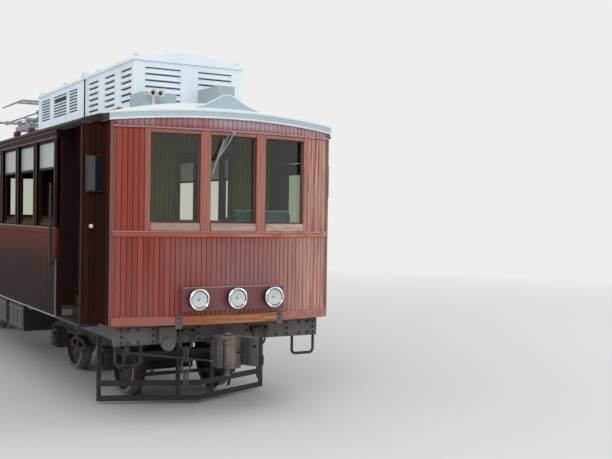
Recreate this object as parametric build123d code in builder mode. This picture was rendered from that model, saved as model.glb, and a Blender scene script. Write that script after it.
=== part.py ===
from build123d import *
import math
import os

os.makedirs("parts", exist_ok=True)

# All sizes are in millimetres. X runs across the car, Y along it with the front at -Y, and Z up.
# The origin is under the middle of the car, at the lowest point of the wheel flanges.
# A name that ends in _t is a distance back from the plane of the front corner posts.

# Car body in plan
corner_y = 5640.0  # from mid-length to the corner posts of each bowed end
bow_rise = 180.0  # how far an end bulges ahead of its corner posts
cab_half_width = 1200.0  # the narrow ends, over the boards
body_half_width = 1390.0  # the saloon, over the boards
wall = 60.0  # boards, frame and lining together
shoulder_t = 310.0
shoulder_thick = 50.0
saloon_t = 1190.0  # where the saloon's end wall stands
seat_gap = 0.3  # clearance between curved faces that seat on each other

# Heights of the body
cab_bottom_z = 960.0
side_bottom_z = 940.0
floor_top_z = 1060.0
floor_thick = 40.0
belt_low_z = 1818.0
belt_high_z = 1868.0
eave_low_z = 2905.0  # where the roof rests on the side walls

# Mouldings on the body
sill_height = 95.0
moulding_proud = 15.0
drip_low_z = 2864.0
drip_height = 16.0
sill_block_proud = 8.0
strip_setback = 5.0
side_moulding_proud = 12.0
letter_board_low_z = 2836.0
letter_board_proud = 10.0

# Roof
eave_overhang = 20.0
eave_z = 2955.0
roof_rise = 235.0
roof_thick = 45.0
roof_front_t = 290.0  # the front edge of the full-width roof
lip_corner_z = 2930.0
lip_centre_z = 2994.0
lip_overhang = 30.0
band_height = 70.0
hood_half_width = 335.0
hood_shoulder_x = 150.0
hood_base_z = 3070.0
hood_shoulder_z = 3155.0
hood_peak_z = 3225.0
hood_hollow = 12.0  # how far its flanks curve in
hood_swell = 10.0  # how far its crown curves out
hood_lift = 2.0  # how far it stays above the roof at its foot

# End windows
middle_window_half = 250.0
outer_window_low_x = 360.0
outer_window_high_x = 848.0
end_window_low_z = 1960.0
end_window_high_z = 2825.0
end_glass_inset = 40.0
glass_thick = 6.0

# Side windows
bay_count = 10
bay_pitch = 880.0
side_window_width = 780.0
side_window_low_z = 1890.0
side_window_high_z = 2815.0
side_pane_low_z = 2525.0  # the lower sashes are dropped into the wall, and only the fixed panes show
side_glass_inset = 30.0

# Partitions and aisle: two seats on the left of the aisle and one on its right
aisle_low_x = -40.0
aisle_high_x = 610.0
doorway_high_z = 2700.0

# Entrance doors
door_thick = 40.0
door_clear = 8.0
door_high_z = 2640.0
door_stile = 110.0
door_top_rail = 122.0
door_window_low_z = 1900.0
hinge_high = 90.0
hinge_long = 50.0
hinge_zs = (1200.0, 1850.0, 2500.0)

# Underframe
sole_bar_x = 970.0
sole_bar_wide = 80.0
frame_low_z = 780.0
cross_member_high = 100.0
cross_member_wide = 80.0
cross_member_ys = (-4950.0, -4700.0, -2100.0, -1000.0, 0.0, 1000.0, 2100.0, 4700.0, 4950.0)
jack_pad_y = 1900.0
jack_pad_long = 200.0
jack_pad_thick = 20.0
headstock_low_z = 760.0
headstock_half_width = 1125.0
headstock_t = 50.0
headstock_thick = 100.0

# Bogies
bogie_y = 3300.0
wheelbase = 1900.0
wheel_r = 400.0
flange = 28.0
wheel_inner_x = 463.0
wheel_wide = 125.0
axle_r = 70.0
journal_r = 55.0
journal_end_x = 800.0
journal_gap = 0.1
bogie_side_x = 690.0
bogie_side_thick = 40.0
beam_low_z = 520.0
beam_high_z = 640.0
bogie_top_z = 700.0
bogie_end_y = 480.0  # from an axle to the bar across the bogie's end
end_bar_size = 60.0
end_bar_z = 530.0
bolster_long = 280.0
bolster_high = 160.0
bolster_z = 600.0
pivot_plate_z = 760.0
pivot_plate_r = 210.0
pivot_pin_r = 60.0
pivot_pin_gap = 0.1
axle_box_size = 240.0
axle_box_cover = 30.0  # what the box adds beyond the journal's end
axle_box_cap_r = 88.0
axle_box_lift = 10.0  # how far its middle lies above the axle
spring_half = 340.0
spring_rise = 85.0
spring_leaf = 34.0
spring_z = 480.0
spring_wide = 80.0
spring_buckle = 20.0  # what the clasps in a spring's middle add to its width and thickness
brake_gap = 8.0
brake_shoe_thick = 40.0
brake_shoe_wide = 78.0

# Pantograph
panto_y = 940.0
panto_pivot_z = 3480.0
panto_spread = 300.0  # half the distance between the two base shafts
panto_arm = 1150.0
panto_rest_deg = 5.0
panto_shaft_r = 20.0
panto_bore_gap = 0.1
panto_boss_r = 38.0
panto_boss_long = 40.0

front_y = -corner_y
saloon_y = corner_y - saloon_t
roof_half_width = body_half_width + eave_overhang
roof_top_z = eave_z + roof_rise
bow_r = (cab_half_width**2 + bow_rise**2) / (2 * bow_rise)
roof_r = (roof_half_width**2 + roof_rise**2) / (2 * roof_rise)
axle_z = wheel_r + flange
half_base = wheelbase / 2
floor_low_z = floor_top_z - floor_thick
inner_cab_x = cab_half_width - wall
inner_body_x = body_half_width - wall
shoulder_back = front_y + shoulder_t + shoulder_thick
roof_front_y = front_y + roof_front_t
head_front = front_y + headstock_t
head_back = head_front + headstock_thick
end_windows_x = (
    # low x, high x
    (-outer_window_high_x, -outer_window_low_x),
    (-middle_window_half, middle_window_half),
    (outer_window_low_x, outer_window_high_x),
)
bay_ys = [(i - (bay_count - 1) / 2) * bay_pitch for i in range(bay_count)]


def bow_y(x, inset=0.0):
    """Y of the front's bowed face at x, moved inwards by inset."""
    centre = front_y - bow_rise + bow_r
    return centre - math.sqrt((bow_r - inset) ** 2 - x**2)


def roof_z(x):
    """Height of the full-width roof's top at x."""
    return roof_top_z - roof_r + math.sqrt(roof_r**2 - x**2)


def save(piece, name):
    """Labels a finished piece and writes it."""
    piece.part.label = name
    export_step(piece.part, f"parts/{name}.step")


def save_turned(piece, name):
    """Writes a copy of a front piece turned half round for the rear."""
    with BuildPart() as turned:
        add(piece.part, rotation=(0, 0, 180))
    save(turned, name)


def box_between(low, high, mode=Mode.ADD):
    """A box between two corners, in the builder that is open."""
    size = [abs(b - a) for a, b in zip(low, high)]
    middle = [(a + b) / 2 for a, b in zip(low, high)]
    with Locations(tuple(middle)):
        Box(*size, mode=mode)


def bow_strip(low_x, high_x, low_z, high_z, proud, inset=10.0, mode=Mode.ADD):
    """A strip that follows the bowed front, standing proud of it and sunk into it by inset."""
    mid_x = (low_x + high_x) / 2
    with BuildSketch(Plane.XY.offset(low_z)) as outline:
        with BuildLine():
            ThreePointArc(
                (low_x, bow_y(low_x, -proud)), (mid_x, bow_y(mid_x, -proud)), (high_x, bow_y(high_x, -proud))
            )
            Line((high_x, bow_y(high_x, -proud)), (high_x, bow_y(high_x, inset)))
            ThreePointArc(
                (high_x, bow_y(high_x, inset)), (mid_x, bow_y(mid_x, inset)), (low_x, bow_y(low_x, inset))
            )
            Line((low_x, bow_y(low_x, inset)), (low_x, bow_y(low_x, -proud)))
        make_face()
    extrude(outline.sketch, amount=high_z - low_z, mode=mode)


def rod(start, end, radius, mode=Mode.ADD):
    """A round bar from one point to another, in the builder that is open."""
    start = Vector(*start)
    end = Vector(*end)
    with BuildSketch(Plane(origin=start, z_dir=end - start)) as section:
        Circle(radius)
    extrude(section.sketch, amount=(end - start).length, mode=mode)


def across_plane(y):
    """A plane across the car whose sketch axes are X and Z."""
    return Plane(origin=(0, y, 0), x_dir=(1, 0, 0), z_dir=(0, -1, 0))


def along_plane(x):
    """A plane along the car whose sketch axes are Y and Z."""
    return Plane.YZ.offset(x)


def cut_to_roof():
    """Cuts the feet of the open piece to the curve of the roof that it stands on."""
    with BuildSketch(across_plane(corner_y)) as under:
        with Locations((0, roof_top_z - roof_r)):
            Circle(roof_r + seat_gap)
    extrude(under.sketch, amount=2 * corner_y, mode=Mode.SUBTRACT)


# Space under the full-width roof, which walls and partitions fill up to
crown_z = roof_top_z - roof_thick
with BuildPart() as under_roof:
    with BuildSketch(across_plane(-roof_front_y)):
        with BuildLine():
            Polyline(
                (-inner_body_x, eave_low_z),
                (-roof_half_width, eave_low_z),
                (-roof_half_width, 0),
                (roof_half_width, 0),
                (roof_half_width, eave_low_z),
                (inner_body_x, eave_low_z),
            )
            ThreePointArc((inner_body_x, eave_low_z), (0, crown_z), (-inner_body_x, eave_low_z))
        make_face()
    extrude(amount=-2 * roof_front_y)

# Space under the narrow roof ends
lip_x = cab_half_width + lip_overhang
with BuildPart() as under_end:
    with BuildSketch(across_plane(roof_front_y)):
        with BuildLine():
            ThreePointArc((-lip_x, lip_corner_z), (0, lip_centre_z), (lip_x, lip_corner_z))
            Polyline(
                (lip_x, lip_corner_z),
                (lip_x + wall, lip_corner_z),
                (lip_x + wall, 0),
                (-lip_x - wall, 0),
                (-lip_x - wall, lip_corner_z),
                (-lip_x, lip_corner_z),
            )
        make_face()
    extrude(amount=roof_front_t + bow_rise + lip_overhang + 2 * wall)

# Space under the narrow roof end and under the full-width roof behind it
with BuildPart() as nose_room:
    add(under_roof.part)
    box_between(
        (-roof_half_width, roof_front_y, 0),
        (roof_half_width, -saloon_y, roof_top_z),
        mode=Mode.INTERSECT,
    )
    add(under_end.part)

# Cab shell: bowed front, returns, shoulders and the head boards over the doors
with BuildPart() as cab_shell_front:
    with BuildSketch(Plane.XY.offset(cab_bottom_z)):
        with BuildLine():
            ThreePointArc((-cab_half_width, front_y), (0, bow_y(0)), (cab_half_width, front_y))
            Polyline(
                (cab_half_width, front_y),
                (cab_half_width, front_y + shoulder_t),
                (body_half_width, front_y + shoulder_t),
                (body_half_width, shoulder_back),
                (inner_cab_x, shoulder_back),
                (inner_cab_x, bow_y(inner_cab_x, wall)),
            )
            ThreePointArc(
                (inner_cab_x, bow_y(inner_cab_x, wall)),
                (0, bow_y(0, wall)),
                (-inner_cab_x, bow_y(inner_cab_x, wall)),
            )
            Polyline(
                (-inner_cab_x, bow_y(inner_cab_x, wall)),
                (-inner_cab_x, shoulder_back),
                (-body_half_width, shoulder_back),
                (-body_half_width, front_y + shoulder_t),
                (-cab_half_width, front_y + shoulder_t),
                (-cab_half_width, front_y),
            )
        make_face()
    extrude(amount=roof_top_z - cab_bottom_z)
    for side in (-1, 1):
        box_between(
            (side * inner_cab_x, shoulder_back, door_high_z),
            (side * cab_half_width, -saloon_y, roof_top_z),
        )
    add(nose_room.part.moved(Location((0, 0, -seat_gap))), mode=Mode.INTERSECT)
    strip_x = cab_half_width - strip_setback
    for low_z, high_z, proud in (
        (cab_bottom_z, cab_bottom_z + sill_height, moulding_proud),
        (belt_low_z, belt_high_z, moulding_proud),
        (drip_low_z, drip_low_z + drip_height, moulding_proud),
    ):
        bow_strip(-strip_x, strip_x, low_z, high_z, proud)
    for low_x, high_x in end_windows_x:
        bow_strip(low_x, high_x, belt_high_z, end_window_low_z, sill_block_proud)
        box_between(
            (low_x, front_y - 2 * bow_rise, end_window_low_z),
            (high_x, shoulder_back, end_window_high_z),
            mode=Mode.SUBTRACT,
        )
save(cab_shell_front, "cab_shell_front")
save_turned(cab_shell_front, "cab_shell_rear")

# End windows: one bent pane in each opening
with BuildPart() as end_windows:
    for low_x, high_x in end_windows_x:
        bow_strip(
            low_x, high_x, end_window_low_z, end_window_high_z, -end_glass_inset, end_glass_inset + glass_thick
        )
    add(end_windows.part, rotation=(0, 0, 180))
save(end_windows, "end_windows")

# Side walls with their windows, belt rail and letter board
with BuildPart() as side_wall_left:
    for proud, low_z, high_z in (
        (0.0, side_bottom_z, eave_low_z),
        (side_moulding_proud, belt_low_z, belt_high_z),
        (letter_board_proud, letter_board_low_z, eave_low_z),
    ):
        box_between((-body_half_width - proud, -saloon_y, low_z), (-inner_body_x, saloon_y, high_z))
    for y in bay_ys:
        box_between(
            (-body_half_width - wall, y - side_window_width / 2, side_window_low_z),
            (-inner_body_x + wall, y + side_window_width / 2, side_window_high_z),
            mode=Mode.SUBTRACT,
        )
save(side_wall_left, "side_wall_left")
save_turned(side_wall_left, "side_wall_right")

side_glass_x = body_half_width - side_glass_inset
with BuildPart() as side_windows:
    for y in bay_ys:
        box_between(
            (-side_glass_x, y - side_window_width / 2, side_pane_low_z),
            (-side_glass_x + glass_thick, y + side_window_width / 2, side_window_high_z),
        )
    mirror(about=Plane.YZ)
save(side_windows, "side_windows")

# Roof over the saloon and the entrances
with BuildPart() as roof:
    with BuildSketch(across_plane(-roof_front_y)):
        with BuildLine():
            ThreePointArc((-roof_half_width, eave_z), (0, roof_top_z), (roof_half_width, eave_z))
            Polyline(
                (roof_half_width, eave_z),
                (roof_half_width, eave_low_z),
                (-roof_half_width, eave_low_z),
                (-roof_half_width, eave_z),
            )
        make_face()
    extrude(amount=-2 * roof_front_y)
    add(under_roof.part, mode=Mode.SUBTRACT)
save(roof, "roof")

# Roof ends: a slab that falls towards the bowed band, and a hood in the middle
tip_y = bow_y(0, -lip_overhang)
band_top_corner = lip_corner_z + band_height
band_top_centre = lip_centre_z + band_height
loft_half = lip_x + wall
corner_fall = (roof_z(lip_x) - band_top_corner) / roof_front_t
centre_fall = (roof_z(0) - band_top_centre) / (roof_front_y - tip_y)
with BuildPart() as roof_end_front:
    for plane_y in (roof_front_y + wall, tip_y - wall):
        corner_z = roof_z(loft_half) - corner_fall * (roof_front_y - plane_y)
        centre_z = roof_z(0) - centre_fall * (roof_front_y - plane_y)
        with BuildSketch(across_plane(plane_y)):
            with BuildLine():
                ThreePointArc((-loft_half, corner_z), (0, centre_z), (loft_half, corner_z))
                Polyline(
                    (loft_half, corner_z),
                    (loft_half, door_high_z),
                    (-loft_half, door_high_z),
                    (-loft_half, corner_z),
                )
            make_face()
    loft(ruled=True)
    with BuildSketch(across_plane(front_y)):
        with BuildLine():
            Line((-hood_half_width, hood_base_z), (hood_half_width, hood_base_z))
            SagittaArc((hood_half_width, hood_base_z), (hood_shoulder_x, hood_shoulder_z), hood_hollow)
            SagittaArc((hood_shoulder_x, hood_shoulder_z), (0, hood_peak_z), -hood_swell)
            SagittaArc((0, hood_peak_z), (-hood_shoulder_x, hood_shoulder_z), -hood_swell)
            SagittaArc((-hood_shoulder_x, hood_shoulder_z), (-hood_half_width, hood_base_z), hood_hollow)
        make_face()
    extrude(amount=roof_front_t + wall, dir=(0, roof_front_t, roof_top_z + hood_lift - hood_peak_z))
    add(under_end.part, mode=Mode.SUBTRACT)
    with BuildSketch(Plane.XY.offset(door_high_z)):
        with BuildLine():
            corner = bow_y(lip_x, -lip_overhang)
            ThreePointArc((-lip_x, corner), (0, tip_y), (lip_x, corner))
            Polyline((lip_x, corner), (lip_x, roof_front_y), (-lip_x, roof_front_y), (-lip_x, corner))
        make_face()
    extrude(amount=hood_peak_z, mode=Mode.INTERSECT)
save(roof_end_front, "roof_end_front")
save_turned(roof_end_front, "roof_end_rear")

# Partitions between the entrances and the saloon, with a doorway in line with the aisle
with BuildPart() as bulkheads:
    box_between((-inner_body_x, -saloon_y, floor_top_z), (inner_body_x, -saloon_y + wall, roof_top_z))
    add(under_roof.part.moved(Location((0, 0, -seat_gap))), mode=Mode.INTERSECT)
    box_between(
        (aisle_low_x, -saloon_y - wall, 0.0),
        (aisle_high_x, -saloon_y + 2 * wall, doorway_high_z),
        mode=Mode.SUBTRACT,
    )
    mirror(about=Plane.XZ)
save(bulkheads, "bulkheads")

# Floor
with BuildPart() as floor:
    box_between((-inner_body_x, -saloon_y, floor_low_z), (inner_body_x, saloon_y, floor_top_z))
    with BuildSketch(Plane.XY.offset(floor_low_z)):
        with BuildLine():
            ThreePointArc(
                (-inner_cab_x, bow_y(inner_cab_x, wall)),
                (0, bow_y(0, wall)),
                (inner_cab_x, bow_y(inner_cab_x, wall)),
            )
            Polyline(
                (inner_cab_x, bow_y(inner_cab_x, wall)),
                (inner_cab_x, shoulder_back),
                (cab_half_width, shoulder_back),
                (cab_half_width, -saloon_y),
                (-cab_half_width, -saloon_y),
                (-cab_half_width, shoulder_back),
                (-inner_cab_x, shoulder_back),
                (-inner_cab_x, bow_y(inner_cab_x, wall)),
            )
        make_face()
    nose_floor = extrude(amount=floor_thick)
    add(nose_floor, rotation=(0, 0, 180))
save(floor, "floor")

# Entrance doors, hinged on the saloon side and opening inwards
hinge_leaf = door_clear
hinge_x = cab_half_width - door_thick - hinge_leaf
door_front = shoulder_back + door_clear
door_back = -saloon_y - door_clear
with BuildPart() as door_front_left:
    box_between(
        (-cab_half_width, door_front, floor_top_z + door_clear),
        (-cab_half_width + door_thick, door_back, door_high_z - door_clear),
    )
    box_between(
        (-cab_half_width - door_thick, door_front + door_stile, door_window_low_z),
        (-cab_half_width + 2 * door_thick, door_back - door_stile, door_high_z - door_clear - door_top_rail),
        mode=Mode.SUBTRACT,
    )
    for z in hinge_zs:
        box_between(
            (-hinge_x - hinge_leaf, door_back - hinge_long, z - hinge_high / 2),
            (-hinge_x, door_back, z + hinge_high / 2),
        )
        with Locations((-hinge_x, door_back, z)):
            Cylinder(hinge_leaf - seat_gap, hinge_high)
save(door_front_left, "door_front_left")
save_turned(door_front_left, "door_rear_right")
with BuildPart() as door_front_right:
    mirror(door_front_left.part, about=Plane.YZ)
save(door_front_right, "door_front_right")
save_turned(door_front_right, "door_rear_left")

# Underframe: sole bars, headstocks, bolsters, cross members, jacking pads and the hose boxes
hose_box_x = -610.0
hose_box_wide = 180.0
hose_box_low_z = 777.0
hose_box_high_z = 930.0
hose_box_thick = 60.0
hose_r = 66.0
hose_head_thick = 60.0
hose_z = 765.0
bolster_step = 20.0
bolster_low_z = frame_low_z + bolster_step
plate_high_z = 850.0
with BuildPart() as underframe:
    for side in (-1, 1):
        box_between(
            (side * sole_bar_x, head_back, frame_low_z),
            (side * (sole_bar_x + sole_bar_wide), -head_back, floor_low_z),
        )
        for y in (-jack_pad_y, jack_pad_y):
            box_between(
                (side * sole_bar_x, y - jack_pad_long / 2, frame_low_z - jack_pad_thick),
                (side * (sole_bar_x + sole_bar_wide), y + jack_pad_long / 2, frame_low_z),
            )
    for turn in (-1, 1):
        box_between(
            (-headstock_half_width, -turn * head_front, headstock_low_z),
            (headstock_half_width, -turn * head_back, floor_low_z),
        )
        box_between(
            (-sole_bar_x, turn * bogie_y - bolster_long / 2, bolster_low_z),
            (sole_bar_x, turn * bogie_y + bolster_long / 2, floor_low_z),
        )
        with Locations((0, turn * bogie_y, (pivot_plate_z + seat_gap + plate_high_z) / 2)):
            Cylinder(pivot_plate_r, plate_high_z - pivot_plate_z - seat_gap)
        with Locations((0, turn * bogie_y, plate_high_z - (plate_high_z - pivot_plate_z + pivot_pin_r) / 2)):
            Cylinder(pivot_pin_r, plate_high_z - pivot_plate_z + pivot_pin_r)
    for y in cross_member_ys:
        box_between(
            (-sole_bar_x, y - cross_member_wide / 2, floor_low_z - cross_member_high),
            (sole_bar_x, y + cross_member_wide / 2, floor_low_z),
        )
    for turn in (-1, 1):
        x = -turn * hose_box_x
        outer_y = -turn * (head_front - hose_box_thick)
        box_between(
            (x - hose_box_wide / 2, -turn * head_front, hose_box_low_z),
            (x + hose_box_wide / 2, outer_y, hose_box_high_z),
        )
        with Locations((x, outer_y, hose_z)):
            Cylinder(hose_r, hose_head_thick, rotation=(90, 0, 0))
save(underframe, "underframe")

# Wheelsets: two flanged wheels on one axle
tread_x = wheel_inner_x + wheel_wide
with BuildPart() as wheelset:
    with BuildSketch(Plane.XY) as wheel_half:
        with BuildLine():
            Polyline(
                # x, radius
                (0, 0),
                (0, axle_r),
                (wheel_inner_x - 20, axle_r),
                (wheel_inner_x - 20, axle_r + 50),
                (wheel_inner_x + 45, axle_r + 60),
                (wheel_inner_x + 45, wheel_r - 55),
                (wheel_inner_x, wheel_r - 45),
                (wheel_inner_x, wheel_r + flange - 10),
                (wheel_inner_x + 12, wheel_r + flange),
                (wheel_inner_x + 34, wheel_r),
                (tread_x, wheel_r - 5),
                (tread_x, wheel_r - 50),
                (wheel_inner_x + 80, wheel_r - 60),
                (wheel_inner_x + 80, axle_r + 60),
                (tread_x + 15, axle_r + 45),
                (tread_x + 15, journal_r),
                (journal_end_x, journal_r),
                (journal_end_x, 0),
                close=True,
            )
        make_face()
    revolve(axis=Axis.X)
    mirror(about=Plane.YZ)
axle_ys = [turn * bogie_y + step * half_base for turn in (-1, 1) for step in (-1, 1)]
for number, y in enumerate(axle_ys, 1):
    with BuildPart() as placed:
        with Locations((0, y, axle_z)):
            add(wheelset.part)
    save(placed, f"wheelset_{number}")

# Bogie frames: side frames outside the wheels, axle boxes, springs, brake shoes, bolster and end bars
side_tip = half_base + bogie_end_y + end_bar_size / 2
box_half = axle_box_size / 2
side_profile = (
    # y from the bogie's middle, z
    (0.0, 400.0),
    (220.0, 400.0),
    (350.0, beam_low_z),
    (half_base - box_half - 80, beam_low_z),
    (half_base - box_half - 20, beam_low_z - 80),
    (half_base + box_half + 20, beam_low_z - 80),
    (half_base + box_half + 20, beam_low_z),
    (side_tip, end_bar_z - end_bar_size / 2),
    (side_tip, end_bar_z + end_bar_size / 2),
    (half_base + box_half + 10, beam_high_z),
    (300.0, beam_high_z),
    (200.0, bogie_top_z),
)
mirrored_profile = [(-y, z) for y, z in reversed(side_profile[1:])]
axle_box_end = journal_end_x + axle_box_cover
shoe_angle = 22.0
pivot_hole_long = 2.2 * pivot_pin_r
with BuildPart() as bogie_frame:
    for side in (-1, 1):
        with BuildSketch(along_plane(side * bogie_side_x)):
            with BuildLine():
                Polyline(*side_profile, *mirrored_profile, close=True)
            make_face()
        extrude(amount=side * bogie_side_thick)
        for step in (-1, 1):
            box_between(
                (side * bogie_side_x, step * half_base - box_half, axle_z + axle_box_lift - box_half),
                (side * axle_box_end, step * half_base + box_half, axle_z + axle_box_lift + box_half),
            )
            with Locations((side * axle_box_end, step * half_base, axle_z)):
                Cylinder(axle_box_cap_r, axle_box_cover, rotation=(0, 90, 0))
            with Locations((side * (journal_end_x + axle_box_cover / 3) / 2, step * half_base, axle_z)):
                Cylinder(
                    journal_r + journal_gap,
                    journal_end_x + axle_box_cover / 3,
                    rotation=(0, 90, 0),
                    mode=Mode.SUBTRACT,
                )
        with BuildSketch(along_plane(side * (bogie_side_x + bogie_side_thick))):
            for inner, mode in ((0.0, Mode.ADD), (spring_leaf, Mode.SUBTRACT)):
                reach = spring_half - 2 * inner
                rise = spring_rise - inner
                with BuildLine():
                    ThreePointArc((-reach, spring_z), (0, spring_z + rise), (reach, spring_z))
                    ThreePointArc((reach, spring_z), (0, spring_z - rise), (-reach, spring_z))
                make_face(mode=mode)
        extrude(amount=side * spring_wide)
        for top in (-1, 1):
            with Locations(
                (
                    side * (bogie_side_x + bogie_side_thick + spring_wide / 2),
                    0,
                    spring_z + top * (spring_rise - spring_leaf / 2),
                )
            ):
                Box(spring_wide + spring_buckle, 2 * spring_leaf, spring_leaf + spring_buckle)
    box_between(
        (-bogie_side_x, -bolster_long / 2, bolster_z - bolster_high / 2),
        (bogie_side_x, bolster_long / 2, bolster_z + bolster_high / 2),
    )
    for step in (-1, 1):
        with Locations((0, step * (half_base + bogie_end_y), end_bar_z)):
            Box(2 * bogie_side_x, end_bar_size, end_bar_size)
    with Locations((0, 0, (bolster_z + bolster_high / 2 + pivot_plate_z) / 2)):
        Cylinder(pivot_plate_r, pivot_plate_z - bolster_z - bolster_high / 2)
    with Locations((0, 0, pivot_plate_z - pivot_pin_r)):
        Cylinder(pivot_pin_r + pivot_pin_gap, pivot_hole_long, mode=Mode.SUBTRACT)
    shoe_low_r = wheel_r + brake_gap
    for side in (-1, 1):
        for step in (-1, 1):
            with BuildSketch(along_plane(side * (tread_x - brake_shoe_wide))):
                with BuildLine():
                    for radius in (shoe_low_r, shoe_low_r + brake_shoe_thick):
                        reach = radius * math.cos(math.radians(shoe_angle))
                        rise = radius * math.sin(math.radians(shoe_angle))
                        ThreePointArc(
                            (step * (half_base + reach), axle_z - rise),
                            (step * (half_base + radius), axle_z),
                            (step * (half_base + reach), axle_z + rise),
                        )
                    for turn in (-1, 1):
                        unit_y = math.cos(math.radians(shoe_angle))
                        unit_z = turn * math.sin(math.radians(shoe_angle))
                        Line(
                            (step * (half_base + shoe_low_r * unit_y), axle_z + shoe_low_r * unit_z),
                            (
                                step * (half_base + (shoe_low_r + brake_shoe_thick) * unit_y),
                                axle_z + (shoe_low_r + brake_shoe_thick) * unit_z,
                            ),
                        )
                make_face()
            extrude(amount=side * brake_shoe_wide)
            hanger_y = half_base + shoe_low_r + brake_shoe_thick / 2
            box_between(
                (side * (tread_x - brake_shoe_wide), step * hanger_y, axle_z),
                (side * tread_x, step * (half_base + bogie_end_y), end_bar_z + end_bar_size / 2),
            )
for turn, place in ((-1, "front"), (1, "rear")):
    with BuildPart() as placed:
        with Locations((0, turn * bogie_y, 0)):
            add(bogie_frame.part)
    save(placed, f"bogie_frame_{place}")

# Motors: a plain block for each axle, hung from the bolster by its nose
motor_width = 620.0
motor_long = 470.0
motor_high = 420.0
motor_axle_gap = 115.0  # from the axle's centre to the motor's case
motor_z = 460.0
motor_nose_width = 200.0
motor_nose_high = 80.0
motor_nose_z = 580.0
motor_outer_y = half_base - motor_axle_gap
with BuildPart() as motors:
    for step in (-1, 1):
        box_between(
            (-motor_width / 2, step * (motor_outer_y - motor_long), motor_z - motor_high / 2),
            (motor_width / 2, step * motor_outer_y, motor_z + motor_high / 2),
        )
        box_between(
            (-motor_nose_width / 2, step * bolster_long / 2, motor_nose_z - motor_nose_high / 2),
            (motor_nose_width / 2, step * (motor_outer_y - motor_long), motor_nose_z + motor_nose_high / 2),
        )
for turn, place in ((-1, "front"), (1, "rear")):
    with BuildPart() as placed:
        with Locations((0, turn * bogie_y, 0)):
            add(motors.part)
    save(placed, f"motors_{place}")

# Equipment boxes under the floor between the bogies
with BuildPart() as underfloor_boxes:
    for inner_x, outer_x, low_y, high_y, low_z in (
        (-420.0, -1040.0, -1550.0, -650.0, 430.0),
        (-420.0, -1040.0, -550.0, 350.0, 430.0),
        (420.0, 1040.0, -900.0, 300.0, 430.0),
    ):
        box_between((inner_x, low_y, low_z), (outer_x, high_y, frame_low_z))
save(underfloor_boxes, "underfloor_boxes")

# Air reservoirs with domed ends, held up against a cross member
reservoir_r = 160.0
reservoir_long = 1100.0
reservoir_dome = 60.0
reservoir_x = 260.0
reservoir_y = 1050.0
reservoir_z = floor_low_z - cross_member_high - seat_gap - reservoir_r
dome_r = (reservoir_r**2 + reservoir_dome**2) / (2 * reservoir_dome)
with BuildPart() as air_reservoirs:
    for x in (-reservoir_x, reservoir_x):
        with BuildSketch(along_plane(x)):
            with BuildLine():
                for end in (-1, 1):
                    shell_y = reservoir_y + end * reservoir_long / 2
                    bend = math.asin(reservoir_r / dome_r) / 2
                    ThreePointArc(
                        (shell_y, reservoir_z + reservoir_r),
                        (
                            shell_y + end * (reservoir_dome - dome_r + dome_r * math.cos(bend)),
                            reservoir_z + dome_r * math.sin(bend),
                        ),
                        (shell_y + end * reservoir_dome, reservoir_z),
                    )
                low_y = reservoir_y - reservoir_long / 2
                high_y = reservoir_y + reservoir_long / 2
                Line((low_y, reservoir_z + reservoir_r), (high_y, reservoir_z + reservoir_r))
                Line((low_y - reservoir_dome, reservoir_z), (high_y + reservoir_dome, reservoir_z))
            make_face()
        revolve(axis=Axis((x, 0, reservoir_z), (0, 1, 0)))
save(air_reservoirs, "air_reservoirs")

# Couplers: cast head with guard arm and knuckle, cap plate, shank and carrier
coupler_z = 685.0
coupler_half_high = 140.0
coupler_reach = 380.0
coupler_face_y = front_y - coupler_reach
cap_thick = 24.0
knuckle_x = -88.0
knuckle_r = 62.0
knuckle_split = 26.0
coupler_pin_r = 20.0
coupler_pin_drop = 70.0
guard_hole_r = 17.0
guard_hole_x = 162.0
guard_hole_rise = 55.0
guard_hole_long = 250.0
pin_head = 12.0
knuckle_drop = 10.0
knuckle_t = 100.0  # from the coupler's face to the knuckle's pin
cap_boss_r = 55.0
cap_boss_high = 20.0
lock_r = 26.0
lock_long = 70.0
shank_half = 75.0
shank_tail = 80.0
carrier_half_width = 105.0
carrier_long = 90.0
carrier_thick = 28.0
head_low_z = coupler_z - coupler_half_high
head_high_z = coupler_z + coupler_half_high
knuckle_y = coupler_face_y + knuckle_t


def on_head(x, back):
    """A point in the plan of the coupler's head, at a distance back from its face."""
    return (x, coupler_face_y + back)


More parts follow.
